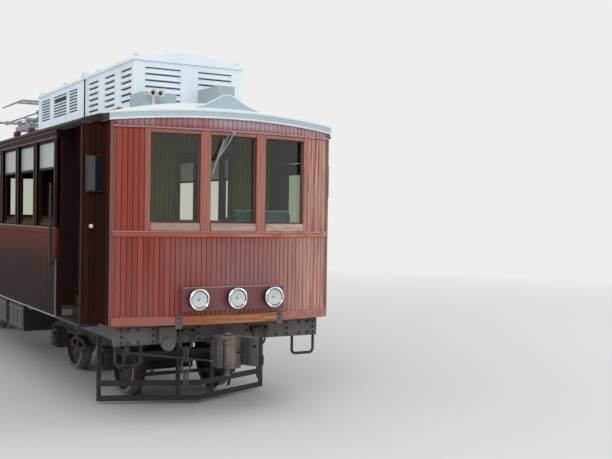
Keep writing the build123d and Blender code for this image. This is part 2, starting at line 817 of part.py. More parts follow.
with BuildPart() as coupler_front:
    with BuildSketch(Plane.XY.offset(head_low_z)):
        with BuildLine():
            Polyline(
                on_head(-90, 290),
                on_head(-205, 215),
                on_head(-212, 75),
                on_head(-170, 42),
            )
            Line(on_head(-170, 42), (knuckle_x - knuckle_r, knuckle_y))
            Line((knuckle_x - knuckle_r, knuckle_y), (knuckle_x, knuckle_y + knuckle_r + 20))
            ThreePointArc(
                (knuckle_x, knuckle_y + knuckle_r + 20),
                on_head(50, 165),
                on_head(120, 70),
            )
            ThreePointArc(
                on_head(120, 70), on_head(150, 22), on_head(190, 0)
            )
            Polyline(
                on_head(190, 0),
                on_head(210, 12),
                on_head(205, 190),
                on_head(95, 290),
                on_head(-90, 290),
            )
        make_face()
    extrude(amount=2 * coupler_half_high)
    with BuildSketch(Plane.XY.offset(head_low_z - knuckle_drop)):
        with Locations((knuckle_x, knuckle_y)):
            Circle(knuckle_r)
        with BuildLine():
            ThreePointArc(
                (knuckle_x, knuckle_y - knuckle_r), on_head(-20, 32), on_head(44, 76)
            )
            ThreePointArc(
                on_head(44, 76), on_head(38, 112), on_head(-2, 118)
            )
            Polyline(
                on_head(-2, 118), (knuckle_x, knuckle_y + 30), (knuckle_x, knuckle_y - knuckle_r)
            )
        make_face()
    extrude(amount=2 * coupler_half_high + knuckle_drop)
    box_between(
        (knuckle_x + knuckle_r, coupler_face_y, coupler_z - knuckle_split / 2),
        (60, coupler_face_y + 130, coupler_z + knuckle_split / 2),
        mode=Mode.SUBTRACT,
    )
    with BuildSketch(Plane.XY.offset(head_high_z)):
        with BuildLine():
            Polyline(
                on_head(-216, 60),
                (knuckle_x, knuckle_y - knuckle_r - 12),
                on_head(52, 70),
                on_head(60, 200),
                on_head(-60, 260),
                on_head(-210, 215),
                close=True,
            )
        make_face()
    extrude(amount=cap_thick)
    with Locations((knuckle_x + 40, knuckle_y + 60, head_high_z + cap_thick)):
        Cylinder(cap_boss_r, cap_boss_high)
    rod(
        (knuckle_x, knuckle_y, head_low_z - coupler_pin_drop),
        (knuckle_x, knuckle_y, head_high_z + cap_thick + pin_head),
        coupler_pin_r,
    )
    with Locations((knuckle_x + 70, knuckle_y + 30, head_low_z - 25)):
        Cylinder(lock_r, lock_long)
    rod(
        (guard_hole_x, coupler_face_y - knuckle_drop, coupler_z + guard_hole_rise),
        (guard_hole_x, coupler_face_y + guard_hole_long, coupler_z + guard_hole_rise),
        guard_hole_r,
        mode=Mode.SUBTRACT,
    )
    box_between(
        (-shank_half, coupler_face_y + 280, coupler_z - shank_half),
        (shank_half, head_front + shank_tail, headstock_low_z),
    )
    box_between(
        (-carrier_half_width, head_front - carrier_long / 2, coupler_z - shank_half - carrier_thick),
        (carrier_half_width, head_front + carrier_long / 2, coupler_z - shank_half),
    )
    for side in (-1, 1):
        box_between(
            (side * shank_half, head_front - carrier_long / 2, coupler_z - shank_half - carrier_thick),
            (side * carrier_half_width, head_front + carrier_long / 2, headstock_low_z),
        )
save(coupler_front, "coupler_front")
save_turned(coupler_front, "coupler_rear")

# Safety chains: a shackle and its links hang from a bolt in front of each headstock
link_long = 165.0
link_wide = 110.0
link_bar = 24.0
link_cut = 0.6  # share of a link's half width that its corners lose
shackle_wide = 150.0
shackle_long = 215.0
link_count = 3
chain_x = 410.0
chain_bolt_z = 862.0
chain_bolt_half = 96.0
chain_bolt_r = 14.0
chain_bolt_groove = 4.0  # how deep a shackle sits in its bolt
chain_reach = 42.0
chain_y = head_front - chain_reach
lug_thick = 18.0
lug_size = 56.0
lug_inset = 15.0


def ring(width, length):
    """An upright link that lies across X, with its middle at the origin."""
    with BuildPart() as made:
        with BuildSketch(Plane.YZ):
            for inset, mode in ((0.0, Mode.ADD), (link_bar, Mode.SUBTRACT)):
                half_u = width / 2 - inset
                half_v = length / 2 - inset
                cut = link_cut * half_u
                Polygon(
                    (half_u, half_v - cut),
                    (half_u - cut, half_v),
                    (-half_u + cut, half_v),
                    (-half_u, half_v - cut),
                    (-half_u, -half_v + cut),
                    (-half_u + cut, -half_v),
                    (half_u - cut, -half_v),
                    (half_u, -half_v + cut),
                    mode=mode,
                )
        extrude(amount=link_bar / 2, both=True)
    return made.part


link = ring(link_wide, link_long)
shackle = ring(shackle_wide, shackle_long)
with BuildPart() as safety_chains:
    for side in (-1, 1):
        x = side * chain_x
        rod((x - chain_bolt_half, chain_y, chain_bolt_z), (x + chain_bolt_half, chain_y, chain_bolt_z), chain_bolt_r)
        for lug_x in (x - chain_bolt_half + lug_inset, x + chain_bolt_half - lug_inset):
            box_between(
                (lug_x - lug_thick / 2, chain_y - lug_size / 2, chain_bolt_z - lug_size / 2),
                (lug_x + lug_thick / 2, head_front, chain_bolt_z + lug_size / 2),
            )
        hang_z = chain_bolt_z + chain_bolt_r + link_bar - chain_bolt_groove
        with Locations((x, chain_y, hang_z - shackle_long / 2)):
            add(shackle, rotation=(0, 0, 90))
        for number in range(1, link_count + 1):
            drop = shackle_long - 2 * link_bar - seat_gap
            drop += (number - 1) * (link_long - 2 * link_bar - seat_gap)
            with Locations((x, chain_y, hang_z - drop - link_long / 2)):
                add(link, rotation=(0, 0, 0 if number % 2 else 90))
    add(safety_chains.part, rotation=(0, 0, 180))
save(safety_chains, "safety_chains")

# Pilots and steps: vee-shaped guards ahead of the wheels, stirrups, entrance steps and uncoupling levers
pilot_tip_t = 620.0
pilot_slope = 0.42  # how far the guard runs back for each millimetre outwards
pilot_half_width = 990.0
pilot_bar_thick = 14.0
pilot_bar_high = 60.0
pilot_bar_zs = (40.0, 200.0)
pilot_post_wide = 45.0
pilot_inner_x = 200.0
stirrup_low_x = 850.0
stirrup_high_x = 1110.0
stirrup_low_z = 565.0
stirrup_r = 15.0
stirrup_bend = 45.0
entrance_step_thick = 30.0
step_plate_thick = 15.0
lever_r = 11.0
lever_outer_z = 705.0
lever_inner_z = 600.0
lever_outer_x = -1050.0
lever_inner_x = -228.0
lever_inner_t = 200.0
lever_inner_y = coupler_face_y + lever_inner_t
lever_reach = 30.0
lever_handle = 130.0
lever_elbow = 8.0
lever_bracket = (20.0, 50.0)  # its near and far side, from the lever's end
lever_bracket_half = 20.0
lever_bracket_drop = 25.0
pilot_tip_y = front_y + pilot_tip_t
pilot_end_y = pilot_tip_y + pilot_slope * pilot_half_width
stirrup_y = head_front + headstock_thick / 2
with BuildPart() as pilots_and_steps:
    for z in pilot_bar_zs:
        with BuildSketch(Plane.XY.offset(z)):
            with BuildLine():
                Polyline(
                    (0, pilot_tip_y),
                    (pilot_half_width, pilot_end_y),
                    (pilot_half_width, pilot_end_y + pilot_bar_thick),
                    (0, pilot_tip_y + pilot_bar_thick),
                    (-pilot_half_width, pilot_end_y + pilot_bar_thick),
                    (-pilot_half_width, pilot_end_y),
                    close=True,
                )
            make_face()
        extrude(amount=pilot_bar_high)
    for side in (-1, 1):
        for x, top_z in (
            (pilot_inner_x, floor_low_z - cross_member_high),
            (pilot_half_width - pilot_post_wide / 2, frame_low_z),
        ):
            back_y = pilot_tip_y + pilot_slope * x + pilot_bar_thick
            box_between(
                (side * (x - pilot_post_wide / 2), back_y - pilot_slope * pilot_post_wide / 2, pilot_bar_zs[0]),
                (side * (x + pilot_post_wide / 2), back_y + pilot_bar_thick, top_z),
            )
        with BuildLine(across_plane(stirrup_y)) as stirrup_path:
            FilletPolyline(
                (side * stirrup_low_x, headstock_low_z),
                (side * stirrup_low_x, stirrup_low_z),
                (side * stirrup_high_x, stirrup_low_z),
                (side * stirrup_high_x, headstock_low_z),
                radius=stirrup_bend,
            )
        with BuildSketch(Plane(origin=stirrup_path.line @ 0, z_dir=stirrup_path.line % 0)):
            Circle(stirrup_r)
        sweep()
        box_between(
            (side * cab_half_width, shoulder_back, side_bottom_z - entrance_step_thick / 2),
            (side * body_half_width, -saloon_y, side_bottom_z + entrance_step_thick / 2),
        )
        box_between(
            (side * cab_half_width, shoulder_back, side_bottom_z),
            (side * (cab_half_width + step_plate_thick), -saloon_y, floor_top_z),
        )
    lever_y = head_front - lever_reach
    rod((lever_outer_x, lever_y, lever_outer_z), (lever_inner_x, lever_inner_y, lever_inner_z), lever_r)
    rod(
        (lever_outer_x, lever_y, lever_outer_z + lever_elbow),
        (lever_outer_x, lever_y, lever_outer_z - lever_handle),
        lever_r,
    )
    box_between(
        (lever_outer_x + lever_bracket[0], lever_y - lever_bracket_half, lever_outer_z - lever_bracket_drop),
        (lever_outer_x + lever_bracket[1], head_front + lever_bracket_half, headstock_low_z),
    )
    add(pilots_and_steps.part, rotation=(0, 0, 180))
save(pilots_and_steps, "pilots_and_steps")

# Lamp boards and headlamps
lamp_z = 1220.0
lamp_xs = (-410.0, 0.0, 410.0)
lamp_r = 100.0
lamp_board_half = 560.0
lamp_board_low_z = 1100.0
lamp_board_high_z = 1330.0
lamp_board_proud = 45.0
lamp_rim = 15.0
lamp_depth = 60.0  # from the board to the rim of the glass
lamp_case = (
    # depth from the board, how far inside the lamp's radius
    (0.0, 18.0),
    (30.0, 0.0),
    (55.0, 0.0),
    (lamp_depth, lamp_rim),
)
board_front_y = front_y - bow_rise - lamp_board_proud
lens_r = lamp_r - lamp_rim
lens_bulge = 16.0
lens_ball_r = (lens_r**2 + lens_bulge**2) / (2 * lens_bulge)
lens_angle = math.asin(lens_r / lens_ball_r)
lens_centre_y = board_front_y - lamp_depth - lens_bulge + lens_ball_r
with BuildPart() as lamp_boards:
    with BuildSketch(Plane.XY.offset(lamp_board_low_z)):
        with BuildLine():
            board_back_y = bow_y(lamp_board_half, -seat_gap)
            ThreePointArc(
                (-lamp_board_half, board_back_y), (0, bow_y(0, -seat_gap)), (lamp_board_half, board_back_y)
            )
            Polyline(
                (lamp_board_half, board_back_y),
                (lamp_board_half, board_front_y),
                (-lamp_board_half, board_front_y),
                (-lamp_board_half, board_back_y),
            )
        make_face()
    extrude(amount=lamp_board_high_z - lamp_board_low_z)
    add(lamp_boards.part, rotation=(0, 0, 180))
save(lamp_boards, "lamp_boards")
with BuildPart() as headlamps:
    for x in lamp_xs:
        with BuildSketch(along_plane(x)):
            with BuildLine():
                Polyline(
                    (board_front_y, lamp_z),
                    *[(board_front_y - depth, lamp_z + lamp_r - inside) for depth, inside in lamp_case],
                )
                ThreePointArc(
                    (board_front_y - lamp_depth, lamp_z + lens_r),
                    (
                        lens_centre_y - lens_ball_r * math.cos(lens_angle / 2),
                        lamp_z + lens_ball_r * math.sin(lens_angle / 2),
                    ),
                    (lens_centre_y - lens_ball_r, lamp_z),
                )
                Line((lens_centre_y - lens_ball_r, lamp_z), (board_front_y, lamp_z))
            make_face()
        revolve(axis=Axis((x, 0, lamp_z), (0, 1, 0)))
    add(headlamps.part, rotation=(0, 0, 180))
save(headlamps, "headlamps")

# Handrails beside the entrances
rail_reach = 45.0
rail_setback = 95.0
rail_x = body_half_width + rail_reach
rail_y = -saloon_y + rail_setback
rail_low_z = 1470.0
rail_high_z = 2350.0
rail_r = 14.0
rail_foot_inset = 40.0
rail_foot_r = 10.0
with BuildPart() as handrails:
    for side in (-1, 1):
        rod((side * rail_x, rail_y, rail_low_z), (side * rail_x, rail_y, rail_high_z), rail_r)
        for z in (rail_low_z + rail_foot_inset, rail_high_z - rail_foot_inset):
            rod((side * body_half_width, rail_y, z), (side * rail_x, rail_y, z), rail_foot_r)
    add(handrails.part, rotation=(0, 0, 180))
save(handrails, "handrails")

# Seats: wooden benches in rows, a wide and a narrow one beside the aisle in each bay
seat_wall_gap = 20.0
seat_aisle_gap = 60.0
seat_high = 400.0
seat_back_high = 900.0
seat_depth = 450.0
seat_end = 40.0
seat_profile = (
    # y from the bay's middle, height above the floor
    (-seat_depth / 2 - 10, 0.0),
    (-seat_depth / 2 + seat_end, 0.0),
    (-seat_depth / 2 + seat_end, seat_high - 60),
    (seat_depth / 2 - 40, seat_high - 70),
    (seat_depth / 2 - 40, 0.0),
    (seat_depth / 2 + 10, 0.0),
    (seat_depth / 2 + 10, seat_high - 40),
    (seat_depth / 2 + 80, seat_back_high),
    (seat_depth / 2 + 50, seat_back_high),
    (seat_depth / 2 - 30, seat_high - 20),
    (-seat_depth / 2 - 10, seat_high),
)
with BuildPart() as seats:
    for low_x, high_x in (
        (-inner_body_x + seat_wall_gap, aisle_low_x - seat_aisle_gap),
        (aisle_high_x + seat_aisle_gap, inner_body_x - seat_wall_gap),
    ):
        for y in bay_ys:
            with BuildSketch(along_plane(low_x)):
                with BuildLine():
                    Polyline(*[(y + step, floor_top_z + height) for step, height in seat_profile], close=True)
                make_face()
            extrude(amount=high_x - low_x)
save(seats, "seats")

# Driver's desks with a raised instrument case and a controller drum
desk_low_x = -150.0
desk_high_x = 850.0
desk_t = 20.0
desk_depth = 220.0
desk_high_z = 1940.0
desk_slope = 40.0
case_low_x = 320.0
case_high_x = 720.0
case_high_z = 2060.0
drum_x = 60.0
drum_r = 95.0
drum_high = 70.0
desk_front = front_y + desk_t
desk_back = desk_front + desk_depth
with BuildPart() as driver_desks:
    with BuildSketch(along_plane(desk_low_x)):
        with BuildLine():
            Polyline(
                (desk_front, floor_top_z),
                (desk_front, desk_high_z),
                (desk_back, desk_high_z - desk_slope),
                (desk_back, desk_high_z - 3 * desk_slope),
                (desk_back - desk_slope, desk_high_z - 4 * desk_slope),
                (desk_back - desk_slope, floor_top_z),
                close=True,
            )
        make_face()
    extrude(amount=desk_high_x - desk_low_x)
    with BuildSketch(along_plane(case_low_x)):
        with BuildLine():
            Polyline(
                (desk_front, desk_high_z - desk_slope),
                (desk_front, case_high_z),
                (desk_front + desk_depth / 3, case_high_z),
                (desk_back - desk_slope, desk_high_z - desk_slope),
                close=True,
            )
        make_face()
    extrude(amount=case_high_x - case_low_x)
    with Locations((drum_x, (desk_front + desk_back) / 2, desk_high_z - desk_slope + drum_high / 2)):
        Cylinder(drum_r, drum_high)
    add(driver_desks.part, rotation=(0, 0, 180))
save(driver_desks, "driver_desks")

# Louvred housings on the roof: slats pressed into every wall, a low-pitched cap and one slat missing
housing_half = 630.0
housing_wall_z = 3690.0
housing_cap_edge = 25.0
housing_cap_proud = 25.0
housing_cap_rise = 105.0
louvre_drop = 65.0  # from the top of a wall to its first slat
louvre_depth = 30.0
louvre_land = 0.1  # share of a slat's pitch left flat
housings = (
    # name, start and end back from the corner posts, slat pitch, louvred height, columns as (start, end)
    ("front", 980.0, 2820.0, 68.5, 411.0, ((1090.0, 1450.0), (1650.0, 2030.0), (2250.0, 2650.0))),
    ("rear", 2822.0, 5040.0, 38.5, 308.0, ((3120.0, 3510.0), (3610.0, 4270.0), (4440.0, 4920.0))),
)
end_columns = (
    # low x, high x of the louvres in a housing's end wall
    (-514.0, -104.0),
    (104.0, 514.0),
)
missing_slat_t = (3630.0, 4250.0)
missing_slat_drops = (40.0, 80.0)  # its top and bottom below the first slat
missing_slat_deep = 90.0
housing_peak_z = housing_wall_z + housing_cap_edge + housing_cap_rise
louvre_high_z = housing_wall_z - louvre_drop


def cut_louvres(corner, outward, length, pitch, height):
    """Cuts a column of slats into a wall: corner is on its face, at the column's top and one end."""
    count = max(1, round(height / pitch))
    x, y, z = corner
    along = Vector(*outward).cross(Vector(0, 0, 1))
    points = [(louvre_depth, 0)]
    for number in range(count):
        points.append((-louvre_depth, -number * pitch))
        points.append((0, -(number + 1 - louvre_land) * pitch))
    points.append((louvre_depth, -(count - louvre_land) * pitch))
    with BuildSketch(Plane(origin=(x, y, z), x_dir=outward, z_dir=along)) as teeth:
        with BuildLine():
            Polyline(*points, close=True)
        make_face()
    extrude(teeth.sketch, amount=length, mode=Mode.SUBTRACT)


for name, start_t, end_t, pitch, height, columns in housings:
    outer_end = -1 if name == "front" else 1
    start_y = front_y + start_t
    end_y = front_y + end_t
    with BuildPart() as housing:
        box_between((-housing_half, start_y, eave_z), (housing_half, end_y, housing_wall_z))
        cap_x = housing_half + housing_cap_proud
        cap_start = start_y - (housing_cap_proud if outer_end < 0 else 0)
        cap_end = end_y + (housing_cap_proud if outer_end > 0 else 0)
        with BuildSketch(across_plane(cap_end)):
            with BuildLine():
                Polyline(
                    (-cap_x, housing_wall_z),
                    (-cap_x, housing_wall_z + housing_cap_edge),
                    (0, housing_peak_z),
                    (cap_x, housing_wall_z + housing_cap_edge),
                    (cap_x, housing_wall_z),
                    close=True,
                )
            make_face()
        extrude(amount=cap_end - cap_start)
        for low_t, high_t in columns:
            length = high_t - low_t
            cut_louvres((-housing_half, front_y + low_t, louvre_high_z), (-1, 0, 0), length, pitch, height)
            cut_louvres((housing_half, front_y + high_t, louvre_high_z), (1, 0, 0), length, pitch, height)
        for low_x, high_x in end_columns:
            if outer_end < 0:
                cut_louvres((high_x, start_y, louvre_high_z), (0, -1, 0), high_x - low_x, pitch, height)
            else:
                cut_louvres((low_x, end_y, louvre_high_z), (0, 1, 0), high_x - low_x, pitch, height)
        if name == "rear":
            box_between(
                (-housing_half - louvre_depth, front_y + missing_slat_t[0], louvre_high_z - missing_slat_drops[0]),
                (-housing_half + missing_slat_deep, front_y + missing_slat_t[1], louvre_high_z - missing_slat_drops[1]),
                mode=Mode.SUBTRACT,
            )
        cut_to_roof()
    save(housing, f"louvre_housing_{name}")

# Boxes on the roof over the front entrance
with BuildPart() as roof_boxes:
    for low_x, high_x, low_t, high_t, top_z in (
        (-720.0, -340.0, 520.0, 880.0, 3290.0),
        (60.0, 250.0, 350.0, 880.0, 3400.0),
    ):
        box_between((low_x, front_y + low_t, eave_z), (high_x, front_y + high_t, top_z))
    cut_to_roof()
save(roof_boxes, "roof_boxes")

# Horns: two trumpets side by side on a bracket
horn_x = -620.0
horn_z = 3262.0
horn_step = 40.0
horn_long = 180.0
horn_bell_r = 35.0
horn_tube_r = 9.0
horn_bracket_half = 12.0
horn_bracket_thick = 16.0
horn_flare = 0.22  # share of a horn's length
horn_t = 330.0
horn_front_y = front_y + horn_t
with BuildPart() as horns:
    for x in (horn_x - horn_step, horn_x + horn_step):
        with BuildSketch(along_plane(x)):
            with BuildLine():
                Polyline(
                    (horn_front_y, horn_z),
                    (horn_front_y, horn_z + horn_bell_r),
                    (horn_front_y + horn_flare * horn_long, horn_z + 2 * horn_tube_r),
                    (horn_front_y + horn_long, horn_z + horn_tube_r),
                    (horn_front_y + horn_long, horn_z),
                    close=True,
                )
            make_face()
        revolve(axis=Axis((x, 0, horn_z), (0, 1, 0)))
    bracket_y = horn_front_y + horn_long / 2
    box_between(
        (horn_x - horn_step - horn_bracket_half, bracket_y - horn_bracket_half, horn_z - horn_bracket_thick / 2),
        (horn_x + horn_step + horn_bracket_half, bracket_y + horn_bracket_half, horn_z + horn_bracket_thick / 2),
    )
    box_between(
        (horn_x - horn_bracket_half, bracket_y - horn_bracket_half, roof_z(horn_x) - wall),
        (horn_x + horn_bracket_half, bracket_y + horn_bracket_half, horn_z),
    )
    cut_to_roof()
save(horns, "horns")

# Pantograph base: a frame on four insulators, with bearings for two shafts
base_half = 480.0
base_bar = 60.0
base_drop = 90.0
base_z = panto_pivot_z - base_drop
pedestal_long = 50.0
bearing_extra = 10.0  # what a bearing adds to a boss's length
insulator_r = 50.0
insulator_neck_r = 28.0
insulator_foot = 20.0
with BuildPart() as pantograph_base:
    for side in (-1, 1):
        with Locations((side * base_half, panto_y, base_z)):
            Box(base_bar, 2 * base_half, base_bar)
        with Locations((0, panto_y + side * base_half, base_z)):
            Box(2 * base_half, base_bar, base_bar)
        for end in (-1, 1):
            foot_y = panto_y + end * base_half
            foot_z = roof_z(base_half + insulator_r) + seat_gap
            rod(
                (side * base_half, foot_y, roof_z(base_half) - wall),
                (side * base_half, foot_y, base_z),
                insulator_neck_r,
            )
            rod(
                (side * base_half, foot_y, foot_z + 2 * insulator_foot),
                (side * base_half, foot_y, base_z - base_bar / 2),
                insulator_r,
            )
            pin_y = panto_y + end * panto_spread
            with Locations((side * base_half, pin_y, (base_z + panto_pivot_z) / 2)):
                Box(panto_boss_long, pedestal_long, panto_pivot_z - base_z)
            with Locations((side * base_half, pin_y, panto_pivot_z)):
                Cylinder(panto_boss_r, panto_boss_long + bearing_extra, rotation=(0, 90, 0))
            with Locations((side * base_half, pin_y, panto_pivot_z)):
                Cylinder(
                    panto_shaft_r + panto_bore_gap,
                    panto_boss_long + 2 * bearing_extra,
                    rotation=(0, 90, 0),
                    mode=Mode.SUBTRACT,
                )
    cut_to_roof()
save(pantograph_base, "pantograph_base")

# Pantograph arms: two lower and two upper frames, hinged at shafts across the car
rest = math.radians(panto_rest_deg)
elbow_dy = panto_spread + panto_arm * math.cos(rest)
elbow_z = panto_pivot_z + panto_arm * math.sin(rest)
head_pivot_z = panto_pivot_z + 2 * panto_arm * math.sin(rest)
lower_foot_x = 380.0
lower_elbow_x = 520.0
upper_foot_x = 440.0
head_boss_x = 180.0
lower_tube_r = 16.0
upper_tube_r = 13.0
brace_r = 10.0
shaft_end = 50.0
for turn, place in ((-1, "front"), (1, "rear")):
    base_pin_y = panto_y + turn * panto_spread
    elbow_y = panto_y + turn * elbow_dy
    with BuildPart() as lower_arm:
        for half_x, y, z in (
            (base_half + shaft_end, base_pin_y, panto_pivot_z),
            (lower_elbow_x + shaft_end, elbow_y, elbow_z),
        ):
            rod((-half_x, y, z), (half_x, y, z), panto_shaft_r)
        for side in (-1, 1):
            rod(
                (side * lower_foot_x, base_pin_y, panto_pivot_z),
                (side * lower_elbow_x, elbow_y, elbow_z),
                lower_tube_r,
            )
    save(lower_arm, f"pantograph_lower_arm_{place}")
    with BuildPart() as upper_arm:
        for side in (-1, 1):
            rod(
                (side * upper_foot_x, elbow_y, elbow_z),
                (side * head_boss_x, base_pin_y, head_pivot_z),
                upper_tube_r,
            )
            for x, y, z in ((upper_foot_x, elbow_y, elbow_z), (head_boss_x, base_pin_y, head_pivot_z)):
                with Locations((side * x, y, z)):
                    Cylinder(panto_boss_r, panto_boss_long, rotation=(0, 90, 0))
                with Locations((side * x, y, z)):
                    Cylinder(
                        panto_shaft_r + panto_bore_gap,
                        panto_boss_long + 2 * bearing_extra,
                        rotation=(0, 90, 0),
                        mode=Mode.SUBTRACT,
                    )
        brace_x = (upper_foot_x + head_boss_x) / 2
        brace_y = (base_pin_y + elbow_y) / 2
        brace_z = (elbow_z + head_pivot_z) / 2
        rod((-brace_x, brace_y, brace_z), (brace_x, brace_y, brace_z), brace_r)
    save(upper_arm, f"pantograph_upper_arm_{place}")

# Pantograph head: two contact strips with bent-down horns on a light frame
strip_y_step = 170.0
strip_wide = 50.0
strip_thick = 25.0
strip_rise = 110.0
strip_half = 560.0
horn_half = 780.0
horn_tip_rise = 10.0
head_frame_x = 100.0
head_brace_x = 400.0
strip_edge = 5.0
horn_edge = 10.0
horn_thick = 18.0
with BuildPart() as pantograph_head:
    for turn in (-1, 1):
        pin_y = panto_y + turn * panto_spread
        half_x = head_boss_x + panto_boss_long
        rod((-half_x, pin_y, head_pivot_z), (half_x, pin_y, head_pivot_z), panto_shaft_r)
        strip_y = panto_y + turn * strip_y_step
        for side in (-1, 1):
            rod(
                (side * head_frame_x, pin_y, head_pivot_z),
                (side * head_frame_x, strip_y, head_pivot_z + strip_rise + strip_thick / 2),
                upper_tube_r - 1,
            )
        with BuildSketch(across_plane(strip_y + strip_wide / 2)):
            with BuildLine():
                Polyline(
                    (-strip_half, head_pivot_z + strip_rise),
                    (strip_half, head_pivot_z + strip_rise),
                    (horn_half, head_pivot_z + horn_tip_rise),
                    (horn_half + horn_edge, head_pivot_z + horn_tip_rise + horn_thick),
                    (strip_half + strip_edge, head_pivot_z + strip_rise + strip_thick),
                    (-strip_half - strip_edge, head_pivot_z + strip_rise + strip_thick),
                    (-horn_half - horn_edge, head_pivot_z + horn_tip_rise + horn_thick),
                    (-horn_half, head_pivot_z + horn_tip_rise),
                    close=True,
                )
            make_face()
        extrude(amount=strip_wide)
    for side in (-1, 1):
        brace_z = head_pivot_z + strip_rise + strip_thick / 2
        rod(
            (side * head_brace_x, panto_y - strip_y_step, brace_z),
            (side * head_brace_x, panto_y + strip_y_step, brace_z),
            brace_r,
        )
save(pantograph_head, "pantograph_head")
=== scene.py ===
import math

import bpy
from bpy.props import FloatProperty, FloatVectorProperty, PointerProperty
from mathutils import Matrix, Vector


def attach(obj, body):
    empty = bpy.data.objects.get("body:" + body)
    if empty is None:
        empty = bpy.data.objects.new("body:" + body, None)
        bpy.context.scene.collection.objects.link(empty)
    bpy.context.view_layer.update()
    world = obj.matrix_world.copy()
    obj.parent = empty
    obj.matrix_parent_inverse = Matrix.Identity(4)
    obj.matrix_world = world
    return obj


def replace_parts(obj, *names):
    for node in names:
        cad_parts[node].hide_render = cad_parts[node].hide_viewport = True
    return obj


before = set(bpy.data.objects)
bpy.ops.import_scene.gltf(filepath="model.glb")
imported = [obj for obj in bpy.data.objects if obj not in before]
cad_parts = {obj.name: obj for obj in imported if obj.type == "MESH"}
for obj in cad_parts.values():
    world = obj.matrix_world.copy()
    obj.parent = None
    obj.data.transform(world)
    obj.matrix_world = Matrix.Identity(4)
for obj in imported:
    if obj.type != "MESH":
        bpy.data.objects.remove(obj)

bl_info = {
    "name": "Heritage Railcar",
    "version": (1, 0, 0),
    "blender": (4, 5, 0),
    "location": "View3D > Sidebar > Railcar",
    "description": "Builds the woodwork, fittings and finishes of a wooden electric railcar",
    "category": "Object",
}

# Metres. X runs across the car, the front faces -Y, and distances named t run back from the front corner posts.
CORNER_Y = 5.64
FRONT_Y = -CORNER_Y
BOW = 0.18
CAB_HALF = 1.2
BODY_HALF = 1.39
BOW_R = (CAB_HALF**2 + BOW**2) / (2 * BOW)
BOW_CENTRE = FRONT_Y - BOW + BOW_R
SHOULDER_Y = FRONT_Y + 0.31
SALOON_Y = CORNER_Y - 1.19
SILL_Z = 0.955
BELT_LOW = 1.818
BELT_HIGH = 1.868
DRIP_LOW = 2.864
DRIP_HIGH = 2.88
WINDOW_LOW = 1.96
WINDOW_HIGH = 2.825
END_WINDOWS = ((-0.848, -0.36), (-0.25, 0.25), (0.36, 0.848))
MIDDLE_POSTS = ((-0.36, -0.25), (0.25, 0.36))
OUTER_POSTS = ((-0.9, -0.848), (0.848, 0.9))
LIP_CORNER = 2.93
LIP_CENTRE = 2.994
LIP_HALF = CAB_HALF + 0.03
BAY = 0.88
BAY_YS = [(number - 4.5) * BAY for number in range(10)]
SIDE_WINDOW_LOW = 1.89
SIDE_WINDOW_HIGH = 2.815
SIDE_WINDOW_HALF = 0.39
PANE_LOW = 2.525
EAVE_LOW = 2.905
FLOOR_Z = 1.06
AISLE_LOW = -0.04
AISLE_HIGH = 0.61
DOORWAY_HIGH = 2.7
HEAD_FRONT = FRONT_Y + 0.05
LAMP_XS = (-0.41, 0.0, 0.41)
LAMP_Z = 1.22
BOARD_FRONT = FRONT_Y - BOW - 0.045
HOUSING_HALF = 0.63
HOUSING_EAVE = 3.688
BOGIE_Y = 3.3
HALF_BASE = 0.95
AXLE_Z = 0.428
PANTO_Y = 0.94
PANTO_Z = 3.48
PANTO_ARM = 1.15
PANTO_FOOT = 0.3
PANTO_REST = math.radians(5)
ROOF_HALF = 1.41
ROOF_RISE = 0.235
ROOF_R = (ROOF_HALF**2 + ROOF_RISE**2) / (2 * ROOF_RISE)
ROOF_CENTRE = 2.955 + ROOF_RISE - ROOF_R
LOUVRE_Z = 3.62
LOUVRES = (
    # t of the side columns, t of the end wall's slats, pitch, slats
    (((1.09, 1.45), (1.65, 2.03), (2.25, 2.65)), 1.005, 0.0685, 6),
    (((3.12, 3.51), (3.61, 4.27), (4.44, 4.92)), 5.015, 0.0385, 8),
)
SIDES = (-1, 1)
UP = (0, 0, 1)
FORWARD = (0, -1, 0)


def linear(hex_colour):
    """An sRGB hex colour as linear RGBA."""
    values = [int(hex_colour[i : i + 2], 16) / 255 for i in (1, 3, 5)]
    return tuple(v / 12.92 if v <= 0.04045 else ((v + 0.055) / 1.055) ** 2.4 for v in values) + (1.0,)


def bow_y(x, out=0.0):
    """Y of the bowed front at x, moved outwards by out."""
    return BOW_CENTRE - math.sqrt((BOW_R + out) ** 2 - x**2)


def on_bow(x, out, z):
    """A point that lies out from the bowed front."""
    return (x, bow_y(x, out), z)


def roof_z(x):
    """Height of the roof's top at x."""
    return ROOF_CENTRE + math.sqrt(ROOF_R**2 - x**2)


def lip_z(x):
    """Height of the underside of the roof's end at x."""
    rise = LIP_CENTRE - LIP_CORNER
    radius = (LIP_HALF**2 + rise**2) / (2 * rise)
    return LIP_CENTRE - radius + math.sqrt(radius**2 - x**2)


def arc(radius, start, end, count):
    """Points of an arc round (0, 0), between two angles in degrees."""
    angles = [math.radians(start + (end - start) * k / (count - 1)) for k in range(count)]
    return [(radius * math.cos(a), radius * math.sin(a)) for a in angles]


def on_side(proud, low_y, high_y, low_z, high_z, sunk=0.0):
    """Corners of a box on the left side of the saloon, proud of its wall and sunk into it."""
    return (-BODY_HALF - proud, low_y, low_z, -BODY_HALF + sunk, high_y, high_z)


